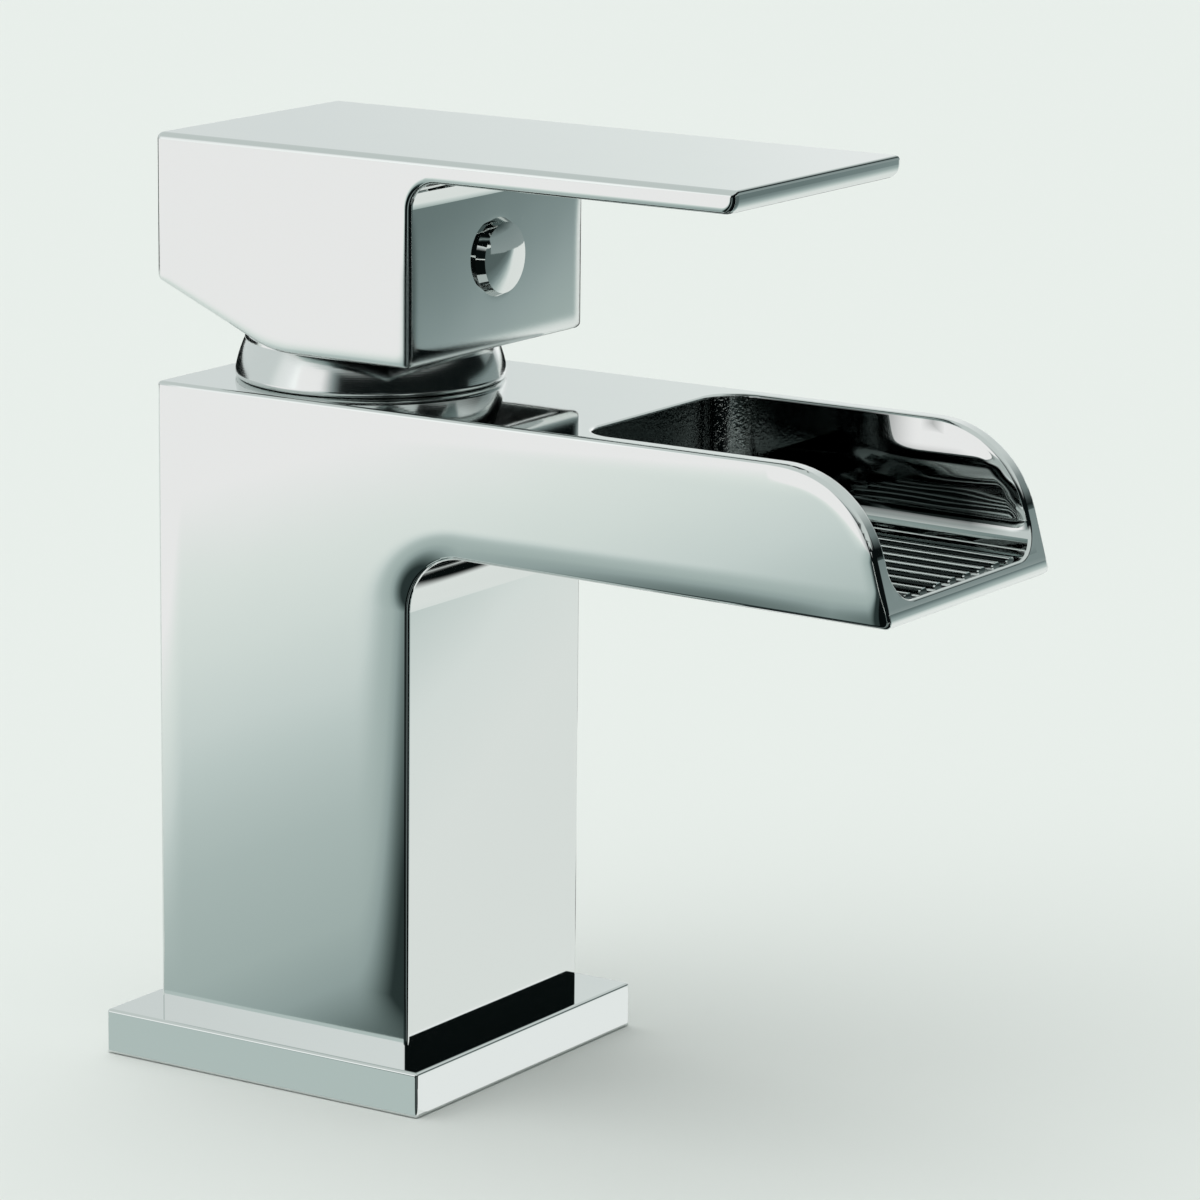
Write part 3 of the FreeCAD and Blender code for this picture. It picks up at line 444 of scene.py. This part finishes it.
# Ceramic discs: the fixed one with the inlets and the outlet, and the one that slides on it.
# Pressed and fired from alumina, then lapped flat together.
# Alumina: dense off-white with a faint speckle, satin from lapping
speckle = 0.0005
lapping_relief = 0.00002
alumina, tree = new_finish("alumina_ceramic_lapped")
place = add(tree, "TexCoord", {}).outputs["Object"]
specks, shade, satin = mottle(tree, place, speckle, 5.0, ("#E2DFD6", "#F3F1EA"), (0.16, 0.3))
bumps = add(tree, "Bump", {"Height": specks, "Strength": 0.1, "Distance": lapping_relief})
skin = add(tree, "BsdfPrincipled", {"Base Color": shade, "Roughness": satin, "IOR": 1.76, "Normal": bumps})
add(tree, "OutputMaterial", {"Surface": skin})
for disc in ("fixed_disc", "moving_disc"):
    dress(disc, alumina)

# Disc carrier and rotor: the carrier slides the upper disc and is keyed into the rotor under the lever.
# Moulded in the cartridge base's glass-filled nylon.
for moulding in ("disc_carrier", "rotor"):
    dress(moulding, glass_nylon)

# Pivot pin: the cross pin that the lever lifts about, pressed into the rotor's neck.
# Cut from stainless rod and ground between centres, so fine lines run round it.
grinding_line = 0.00015
grinding_relief = 0.00002
round_pin = (1.0, 0.05, 0.05)
ground_steel, tree = new_finish("stainless_steel_ground")
place = add(tree, "TexCoord", {}).outputs["Object"]
lines, shade, sheen = mottle(tree, place, grinding_line, 2.0, ("#A7A9AA", "#C4C5C5"), (0.16, 0.32), round_pin)
bumps = add(tree, "Bump", {"Height": lines, "Strength": 0.2, "Distance": grinding_relief})
skin = add(tree, "BsdfPrincipled", {
    "Base Color": shade,
    "Metallic": 1.0,
    "Roughness": sheen,
    "Normal": bumps,
})
add(tree, "OutputMaterial", {"Surface": skin})
dress("pivot_pin", ground_steel)

# Spindle: the square stem on the pivot pin, which ends in a ball in the disc carrier.
# Milled and turned from brass bar and dull nickel-plated, so it is grey with the cutter's lines along it.
milling_line = 0.0003
milling_relief = 0.00003
along_stem = (1.0, 1.0, 0.08)
nickel_brass, tree = new_finish("nickel_plate_on_milled_brass")
place = add(tree, "TexCoord", {}).outputs["Object"]
lines, shade, sheen = mottle(tree, place, milling_line, 2.0, ("#8C8880", "#A9A59B"), (0.3, 0.45), along_stem)
bumps = add(tree, "Bump", {"Height": lines, "Strength": 0.25, "Distance": milling_relief})
skin = add(tree, "BsdfPrincipled", {
    "Base Color": shade,
    "Metallic": 1.0,
    "Roughness": sheen,
    "Normal": bumps,
})
add(tree, "OutputMaterial", {"Surface": skin})
dress("spindle", nickel_brass)

# Glide ring: the slippery washer between the rotor's flange and the shell's roof.
# Cut from skived PTFE sheet: milky white and waxy, with faint lines of the knife.
knife_line = 0.0008
knife_way = (0.1, 1.0, 1.0)
ptfe_sheet, tree = new_finish("ptfe_sheet_skived")
place = add(tree, "TexCoord", {}).outputs["Object"]
shade, waxy = mottle(tree, place, knife_line, 2.0, ("#E3E3DE", "#F2F2EE"), (0.36, 0.5), knife_way)[1:]
skin = add(tree, "BsdfPrincipled", {"Base Color": shade, "Roughness": waxy, "IOR": 1.35})
add(tree, "OutputMaterial", {"Surface": skin})
dress("glide_ring", ptfe_sheet)

# Cartridge shell: the stepped housing round the discs and the rotor, with the swivel's stop inside.
# Injection-moulded in white acetal: smooth and softly glossy, with the faint orange peel of the mould.
mould_peel = 0.0012
peel_relief = 0.00004
acetal, tree = new_finish("acetal_moulded_white")
place = add(tree, "TexCoord", {}).outputs["Object"]
peel, shade, soft = mottle(tree, place, mould_peel, 2.0, ("#DCDAD2", "#E8E6DF"), (0.28, 0.42))
bumps = add(tree, "Bump", {"Height": peel, "Strength": 0.2, "Distance": peel_relief})
skin = add(tree, "BsdfPrincipled", {"Base Color": shade, "Roughness": soft, "IOR": 1.48, "Normal": bumps})
add(tree, "OutputMaterial", {"Surface": skin})
dress("cartridge_shell", acetal)

# Shell ring: the O-ring in the shell's collar, which keeps the mixed water below the gland nut.
# Moulded from nitrile rubber and squeezed between the collar and the pocket.
dress("shell_o_ring", nitrile)

# Gland nut: the castellated ring that screws into the body and holds the cartridge down.
# Turned from brass bar, so its faces have the tool's rings, with a fine thread of 1 mm pitch below.
thread_pitch = 0.001
thread_relief = 0.0005
thread_inside = 0.0183
ring_relief = 0.00003
turned_brass, tree = new_finish("brass_turned")
place = add(tree, "TexCoord", {}).outputs["Object"]
flat = add(tree, "Mapping", {"Vector": place, "Scale": (1.0, 1.0, 0.0)})
radius = add(tree, "VectorMath", {0: flat}, operation="LENGTH")
axes = add(tree, "SeparateXYZ", {"Vector": place})
outer = add(tree, "Math", {0: radius, 1: thread_inside}, operation="GREATER_THAN")
below = add(tree, "Math", {0: axes.outputs["Z"], 1: body_top}, operation="LESS_THAN")
threaded = add(tree, "Math", {0: outer, 1: below}, operation="MULTIPLY")
crests = add(tree, "TexWave", {
    "Vector": place,
    "Scale": wave_scale(thread_pitch),
}, wave_type="BANDS", bands_direction="Z", wave_profile="TRI")
thread = add(tree, "Bump", {
    "Height": crests.outputs["Fac"],
    "Strength": threaded,
    "Distance": thread_relief,
})
rings = add(tree, "TexWave", {
    "Vector": place,
    "Scale": wave_scale(tool_mark),
    "Distortion": 0.3,
}, wave_type="RINGS", rings_direction="Z")
marks = add(tree, "Bump", {
    "Height": rings.outputs["Fac"],
    "Strength": 0.3,
    "Distance": ring_relief,
    "Normal": thread,
})
shade, sheen = mottle(tree, place, bloom_patch, 3.0, ("#B08F4C", "#CDAE69"), (0.22, 0.36))[1:]
skin = add(tree, "BsdfPrincipled", {
    "Base Color": shade,
    "Metallic": 1.0,
    "Roughness": sheen,
    "Normal": marks,
})
add(tree, "OutputMaterial", {"Surface": skin})
dress("gland_nut", turned_brass)

# Dome cover and its ring: the tapered collar that hides the nut, and the O-ring on the nut that grips it.
# The cover is spun from thin brass and chrome-plated; the ring is moulded nitrile rubber.
# Fine lines of the spinning tool run round the cover, so its reflections are softer than the body's.
dress("dome_o_ring", nitrile)
spinning_line = 0.0003
spinning_relief = 0.000005
spun_chrome, tree = new_finish("chrome_plate_on_spun_brass")
place = add(tree, "TexCoord", {}).outputs["Object"]
lines = add(tree, "TexWave", {
    "Vector": place,
    "Scale": wave_scale(spinning_line),
    "Distortion": 1.5,
}, wave_type="BANDS", bands_direction="Z")
gloss = add(tree, "MapRange", {"Value": lines.outputs["Fac"], "To Min": 0.10, "To Max": 0.16})
rings = add(tree, "Bump", {"Height": lines.outputs["Fac"], "Strength": 0.1, "Distance": spinning_relief})
skin = add(tree, "BsdfPrincipled", {
    "Base Color": chrome_tone,
    "Metallic": 1.0,
    "Roughness": gloss,
    "Normal": rings,
})
add(tree, "OutputMaterial", {"Surface": skin})
dress("dome_cover", spun_chrome)

# Lever handle: the square hub and the flat lever plate in one piece, clamped on the spindle.
# Die-cast in zinc, buffed and chrome-plated. The hub's lower edges are worn round, and the top's stay crisp.
# The hollow below stays as cast, so it is dull and grainy, and its colour is darkened there as painted shade.
hub_wall = 0.0206
hub_roof = 0.1405
hollow_dullness = 0.3
lever_wear = 0.003
wear_low = 0.124
wear_high = 0.134
wear_share = 0.5
lever_tip = -0.0750
tip_ease = 0.7
cast_grain = 0.0009
cast_relief = 0.0001
lever_finish, tree = new_finish("chrome_plate_on_cast_zinc")
coordinates = add(tree, "TexCoord", {})
place = coordinates.outputs["Object"]
axes = add(tree, "SeparateXYZ", {"Vector": place})
across = add(tree, "Math", {0: axes.outputs["X"]}, operation="ABSOLUTE")
along = add(tree, "Math", {0: axes.outputs["Y"]}, operation="ABSOLUTE")
furthest = add(tree, "Math", {0: across, 1: along}, operation="MAXIMUM")
inside = add(tree, "Math", {0: furthest, 1: hub_wall}, operation="LESS_THAN")
under = add(tree, "Math", {0: axes.outputs["Z"], 1: hub_roof}, operation="LESS_THAN")
hollow = add(tree, "Math", {0: inside, 1: under}, operation="MULTIPLY")
# Painted shade: the chrome inside the hub's hollow is darkened
metal_and_shade = add(tree, "Mix", {"Factor": hollow, "A": chrome_tone, "B": linear("#6F7474")}, data_type="RGBA")

# Edges and tip: the low edges roll off, and the round lower edge of the lever's tip is eased
shape = add(tree, "NewGeometry", {})
worn = add(tree, "Bevel", {"Radius": lever_wear}, samples=12)
low_edges = add(tree, "MapRange", {
    "Value": axes.outputs["Z"],
    "From Min": wear_low,
    "From Max": wear_high,
    "To Min": wear_share,
    "To Max": 0.0,
})
roll_off = add(tree, "Mix", {
    "Factor": low_edges,
    "A": shape.outputs["Normal"],
    "B": worn,
}, data_type="VECTOR")
facing = add(tree, "SeparateXYZ", {"Vector": coordinates.outputs["Normal"]})
forward = add(tree, "VectorTransform", {
    "Vector": (0, -1, 0),
}, vector_type="NORMAL", convert_from="OBJECT", convert_to="WORLD")
foremost = add(tree, "Math", {0: axes.outputs["Y"], 1: lever_tip}, operation="LESS_THAN")
frontal = add(tree, "MapRange", {
    "Value": facing.outputs["Y"],
    "From Min": 0.0,
    "From Max": -1.0,
    "To Max": tip_ease,
})
tip = add(tree, "Math", {0: foremost, 1: frontal}, operation="MULTIPLY")
eased = add(tree, "Mix", {"Factor": tip, "A": roll_off, "B": forward}, data_type="VECTOR")
gloss, swell = buffed(tree, place, eased)
rough = add(tree, "Math", {0: hollow, 1: hollow_dullness, 2: gloss}, operation="MULTIPLY_ADD")
grain = add(tree, "TexNoise", {"Vector": place, "Scale": 1 / cast_grain, "Detail": 3.0})
pitted = add(tree, "Bump", {"Height": grain, "Strength": hollow, "Distance": cast_relief, "Normal": swell})
skin = add(tree, "BsdfPrincipled", {
    "Base Color": metal_and_shade,
    "Metallic": 1.0,
    "Roughness": rough,
    "Normal": pitted,
})
add(tree, "OutputMaterial", {"Surface": skin})
dress("lever_handle", lever_finish)

# Grub screw: the set screw with a hexagon socket that clamps the hub to the spindle.
# Rolled from steel wire, hardened and blackened, with a thread of 1 mm pitch along it.
blackened_steel, tree = new_finish("steel_screw_blackened")
place = add(tree, "TexCoord", {}).outputs["Object"]
shade, oily = mottle(tree, place, cast_grain, 3.0, ("#2C2D2F", "#4C4E50"), (0.28, 0.45))[1:]
crests = add(tree, "TexWave", {
    "Vector": place,
    "Scale": wave_scale(thread_pitch),
}, wave_type="BANDS", bands_direction="Y", wave_profile="TRI")
thread = add(tree, "Bump", {"Height": crests.outputs["Fac"], "Strength": 1.0, "Distance": thread_relief})
skin = add(tree, "BsdfPrincipled", {
    "Base Color": shade,
    "Metallic": 1.0,
    "Roughness": oily,
    "Normal": thread,
})
add(tree, "OutputMaterial", {"Surface": skin})
dress("grub_screw", blackened_steel)

# Screw plug: the domed cap in the hub's front, over the grub screw.
# Moulded in ABS and chrome-plated, so it is as bright as the hub but free of buffing lines.
plug_relief = 0.00003
bright_plug, tree = new_finish("chrome_plate_on_abs")
place = add(tree, "TexCoord", {}).outputs["Object"]
peel = add(tree, "TexNoise", {"Vector": place, "Scale": 1 / mould_peel, "Detail": 1.0})
gloss = add(tree, "MapRange", {"Value": peel, "To Min": 0.03, "To Max": 0.06})
ripple = add(tree, "Bump", {"Height": peel, "Strength": 0.15, "Distance": plug_relief})
skin = add(tree, "BsdfPrincipled", {
    "Base Color": chrome_tone,
    "Metallic": 1.0,
    "Roughness": gloss,
    "Normal": ripple,
})
add(tree, "OutputMaterial", {"Surface": skin})
dress("screw_plug", bright_plug)

# Floor: a wide sheet of matt white board under and behind the tap.
# It takes the tap's soft shadow and shows pale in the chrome.
floor_mesh = bpy.data.meshes.new("floor_board")
floor_half = 6.0
floor_level = -0.0002
corners = [(-1, -1), (1, -1), (1, 1), (-1, 1)]
floor_points = [(x * floor_half, y * floor_half, floor_level) for x, y in corners]
floor_mesh.from_pydata(floor_points, [], [(0, 1, 2, 3)])
floor = bpy.data.objects.new("floor_board", floor_mesh)
bpy.context.scene.collection.objects.link(floor)
board, tree = new_finish("studio_board_matt_white")
face = add(tree, "BsdfDiffuse", {"Color": linear("#E6E8E5")})
add(tree, "OutputMaterial", {"Surface": face})
floor_mesh.materials.append(board)


# Cards: papers round the tap and out of the picture, which only the chrome sees; they glow with their own
# greys and light nothing, as painted reflections.
# Black ones draw the dark lines of the edges, and those with a gradient shade the flanks and the front.
def stand_card(name, points, paper):
    """Card of the studio that shows in reflections alone."""
    mesh = bpy.data.meshes.new(name)
    mesh.from_pydata(points, [], [tuple(range(len(points)))])
    mesh.materials.append(paper)
    card = bpy.data.objects.new(name, mesh)
    bpy.context.scene.collection.objects.link(card)
    card.visible_camera = False
    card.visible_diffuse = False
    card.visible_shadow = False


def direction(degrees):
    """Unit vector on the floor."""
    return Vector((math.cos(math.radians(degrees)), math.sin(math.radians(degrees))))


def sector(corner, near, far, first, last, level):
    """Patch of the floor between two distances and two bearings from a corner."""
    parts = 6
    bearings = [first + (last - first) * step / parts for step in range(parts + 1)]
    outer = [corner + far * direction(bearing) for bearing in bearings]
    inner = [corner + near * direction(bearing) for bearing in reversed(bearings)]
    return [(x, y, level) for x, y in outer + (inner if near > 0 else [corner])]


def wall(distance, first, last, height):
    """Upright patch between two bearings from the tap's axis."""
    ends = [distance * direction(bearing) for bearing in (first, last)]
    return [(x, y, 0) for x, y in ends] + [(x, y, height) for x, y in reversed(ends)]


def sheet(left, right, front, rear):
    """Oblong patch of the floor, over the other papers."""
    return [(x, y, high_level) for x, y in ((left, front), (right, front), (right, rear), (left, rear))]


def gradient(tree, value, first, last, steps):
    """Colours that follow a value between two limits, by steps of (value, colour)."""
    share = add(tree, "MapRange", {"Value": value, "From Min": first, "From Max": last})
    greys = add(tree, "ValToRGB", {"Fac": share})
    ramp = greys.color_ramp
    while len(ramp.elements) < len(steps):
        ramp.elements.new(1.0)
    for element, (step, colour) in zip(ramp.elements, steps):
        element.position = (step - first) / (last - first)
        element.color = linear(colour)
    return greys


def plain_paper(name, colour, strength):
    """Paper that glows evenly in one grey, a painted reflection."""
    paper, tree = new_finish(name)
    face = add(tree, "Emission", {"Color": linear(colour), "Strength": strength})
    add(tree, "OutputMaterial", {"Surface": face})
    return paper


def graded_paper(name, along, first, last, steps, strength):
    """Paper whose grey changes along a direction, by steps of (metres, colour)."""
    paper, tree = new_finish(name)
    place = add(tree, "TexCoord", {}).outputs["Object"]
    depth = add(tree, "VectorMath", {0: place, 1: along}, operation="DOT_PRODUCT")
    greys = gradient(tree, depth, first, last, steps)
    face = add(tree, "Emission", {"Color": greys, "Strength": strength})
    add(tree, "OutputMaterial", {"Surface": face})
    return paper


def turned_paper(name, corner, first, last, steps, strength):
    """Paper whose grey changes with the bearing from a corner, by steps of (degrees, colour)."""
    paper, tree = new_finish(name)
    place = add(tree, "TexCoord", {}).outputs["Object"]
    spread = add(tree, "VectorMath", {0: place, 1: (*corner, 0)}, operation="SUBTRACT")
    reach = add(tree, "SeparateXYZ", {"Vector": spread})
    turn = add(tree, "Math", {0: reach.outputs["Y"], 1: reach.outputs["X"]}, operation="ARCTAN2")
    degrees = add(tree, "Math", {0: turn}, operation="DEGREES")
    bearing = add(tree, "Math", {0: degrees, 1: 360.0})
    greys = gradient(tree, bearing, first, last, steps)
    face = add(tree, "Emission", {"Color": greys, "Strength": strength})
    add(tree, "OutputMaterial", {"Surface": face})
    return paper


def soft_paper(name, centre, half):
    """Black paper that fades out towards the edge of an oval."""
    paper, tree = new_finish(name)
    place = add(tree, "TexCoord", {}).outputs["Object"]
    oval = add(tree, "Mapping", {"Vector": place, "Location": centre, "Scale": half}, vector_type="TEXTURE")
    edge = add(tree, "VectorMath", {0: oval}, operation="LENGTH")
    cover = add(tree, "MapRange", {
        "Value": edge,
        "From Min": 0.6,
        "From Max": 1.0,
        "To Min": 1.0,
        "To Max": 0.0,
    }, interpolation_type="SMOOTHSTEP")
    gap = add(tree, "BsdfTransparent", {})
    ink = add(tree, "Emission", {"Color": linear(black), "Strength": 1.0})
    face = add(tree, "MixShader", {0: cover, 1: gap, 2: ink})
    add(tree, "OutputMaterial", {"Surface": face})
    return paper


black = "#0A0F0F"
axis = Vector((0, 0))
plate_corner = Vector((-0.0295, -0.0295))
low_level = 0.0001
high_level = 0.0002

# Black cards: before the plate's near corner, with a light wedge, behind the tap, and close on its right
corner_steps = [
    (182.00, black),
    (211.97, black),
    (219.74, "#5C6867"),
    (226.40, "#A3AEAC"),
    (233.06, "#5C6867"),
    (240.83, black),
]
corner_paper = turned_paper(
    "corner_paper", plate_corner, first=182, last=293, steps=corner_steps, strength=1.0,
)
corner_patch = sector(plate_corner, near=0, far=2.0, first=182, last=293, level=low_level)
stand_card("corner_card", corner_patch, corner_paper)
black_paper = plain_paper("black_paper", black, strength=1.0)
rear_patch = sector(axis, near=0.22, far=2.0, first=-8, last=40, level=high_level)
stand_card("rear_card", rear_patch, black_paper)
far_patch = sector(axis, near=0.65, far=5.5, first=40, last=90, level=high_level)
stand_card("far_card", far_patch, black_paper)
near_x = 0.0975
near_y = 0.004
near_half_x = 0.036
near_half_y = 0.066
near_patch = sheet(near_x - near_half_x, near_x + near_half_x, near_y - near_half_y, near_y + near_half_y)
near_paper = soft_paper("near_paper", (near_x, near_y, high_level), (near_half_x, near_half_y, 1.0))
stand_card("near_card", near_patch, near_paper)

# Left papers: the flank shows a painted shade of the floor, darker towards the front, and the plate's side
# shows the strip
left_steps = [
    (-0.010, "#2C3736"),
    (0.000, "#5F6D6B"),
    (0.010, "#82918F"),
    (0.020, "#9CABA9"),
    (0.040, "#AEBCB9"),
    (0.080, "#B9C6C3"),
    (0.100, "#C2CECB"),
    (0.120, "#CCD7D4"),
    (0.140, "#D8E1DE"),
    (0.180, "#E5ECE8"),
    (0.220, "#EEF3EF"),
    (0.280, "#FFFCFC"),
]
left_paper = graded_paper(
    "left_paper", (0, 1, 0), first=-0.05, last=0.30, steps=left_steps, strength=1.12,
)
left_patch = sector(plate_corner, near=0, far=3.0, first=95, last=182, level=low_level)
stand_card("left_card", left_patch, left_paper)
strip_paper = plain_paper("strip_paper", "#C0CDCA", strength=1.1)
stand_card("strip_card", sheet(left=-0.0475, right=-0.0292, front=-0.029, rear=0.045), strip_paper)
left_wall_steps = [
    (-0.250, black),
    (-0.050, "#8A9695"),
    (0.200, "#FFFCFC"),
]
left_wall_paper = graded_paper(
    "left_wall_paper", (0, 1, 0), first=-0.3, last=0.3, steps=left_wall_steps, strength=1.12,
)
stand_card("left_wall_card", wall(distance=1.6, first=150, last=190, height=0.8), left_wall_paper)

# Right papers: the column's front and the hub's front show them, and the plate's front shows the front card
right_steps = [
    (-0.300, "#5A6766"),
    (-0.203, "#728180"),
    (-0.166, "#8C9B9A"),
    (-0.150, "#9DABAA"),
    (-0.133, "#ABB9B6"),
    (-0.100, "#D4DDDA"),
    (-0.080, "#EAEFEC"),
    (-0.060, "#EFF2EF"),
    (-0.040, "#EEF1EE"),
]
right_paper = graded_paper(
    "right_paper", (0.45, 1, 0), first=-0.35, last=0.0, steps=right_steps, strength=1.1,
)
right_patch = sector(plate_corner, near=0, far=3.0, first=294, last=359, level=low_level)
stand_card("right_card", right_patch, right_paper)
front_paper = plain_paper("front_paper", "#F9FBFA", strength=1.1)
stand_card("front_card", sheet(left=-0.026, right=0.045, front=-0.0415, rear=-0.0292), front_paper)
wall_steps = [
    (0.000, "#9BA7A6"),
    (0.175, "#8C9A99"),
    (0.240, "#455150"),
    (0.260, black),
]
wall_paper = graded_paper(
    "wall_paper", (0, 0, 1), first=0.0, last=0.30, steps=wall_steps, strength=1.0,
)
stand_card("right_wall_card", wall(distance=1.3, first=-55, last=-8, height=0.26), wall_paper)

# Light: a white tent behind and over the tap, open and dark towards the camera, with a light grey roof.
# One broad soft lamp above gives the shadow and doesn't show in the chrome.
bright_side = Vector((0.2, 0.95, 0.25)).normalized()
dark_end = -0.5
bright_end = 1.0
roof_start = 0.36
roof_full = 0.52
tent_steps = [
    (-0.26, black),
    (-0.18, "#6E7978"),
    (0.00, "#8F9796"),
    (0.11, "#AFB5B4"),
    (0.25, "#ECEDED"),
    (0.38, "#FCFDFC"),
    (0.50, "#E7E8E8"),
    (0.62, "#E1E3E2"),
    (0.68, "#D9DCDB"),
    (0.70, "#D2D7D5"),
    (0.75, "#C9CECD"),
]
tent = bpy.data.worlds.new("studio_tent")
tent.use_nodes = True
tree = tent.node_tree
tree.nodes.clear()
sky = add(tree, "TexCoord", {}).outputs["Generated"]
depth = add(tree, "VectorMath", {0: sky, 1: bright_side}, operation="DOT_PRODUCT")
cloth = gradient(tree, depth, dark_end, bright_end, tent_steps)
heights = add(tree, "SeparateXYZ", {"Vector": sky})
roof = add(tree, "MapRange", {"Value": heights.outputs["Z"], "From Min": roof_start, "From Max": roof_full})
lining = add(tree, "Mix", {"Factor": roof, "A": cloth, "B": linear("#C2C8C6")}, data_type="RGBA")
backing = add(tree, "Background", {"Color": lining, "Strength": 1.3})
add(tree, "OutputWorld", {"Surface": backing})
bpy.context.scene.world = tent

lamp_data = bpy.data.lights.new("soft_lamp", "SUN")
lamp_data.energy = 1.25
lamp_data.angle = math.radians(90)
lamp = bpy.data.objects.new("soft_lamp", lamp_data)
lamp.rotation_euler = (math.radians(-20), math.radians(-10), 0)
lamp.visible_glossy = False
bpy.context.scene.collection.objects.link(lamp)

# Camera: to the tap's left front and a little above, as the photograph has it, through a long lens.
# Its bearing, height and distance were fitted to the tap's straight edges.
camera_bearing = math.radians(-56.97)
camera_height = math.radians(12.596)
camera_roll = math.radians(0.578)
camera_distance = 0.83962
aim = Vector((0.019014, -0.029247, 0.069896))
camera_data = bpy.data.cameras.new("camera")
camera_data.lens = 165.33
camera_data.sensor_width = 36.0
camera = bpy.data.objects.new("camera", camera_data)
bpy.context.scene.collection.objects.link(camera)
bearing = Matrix.Rotation(camera_bearing, 4, "Z")
tilt = Matrix.Rotation(math.radians(90) - camera_height, 4, "X")
roll = Matrix.Rotation(camera_roll, 4, "Z")
back = Matrix.Translation((0, 0, camera_distance))
camera.matrix_world = Matrix.Translation(aim) @ bearing @ tilt @ roll @ back
bpy.context.scene.camera = camera
bpy.context.scene.view_settings.view_transform = "Standard"
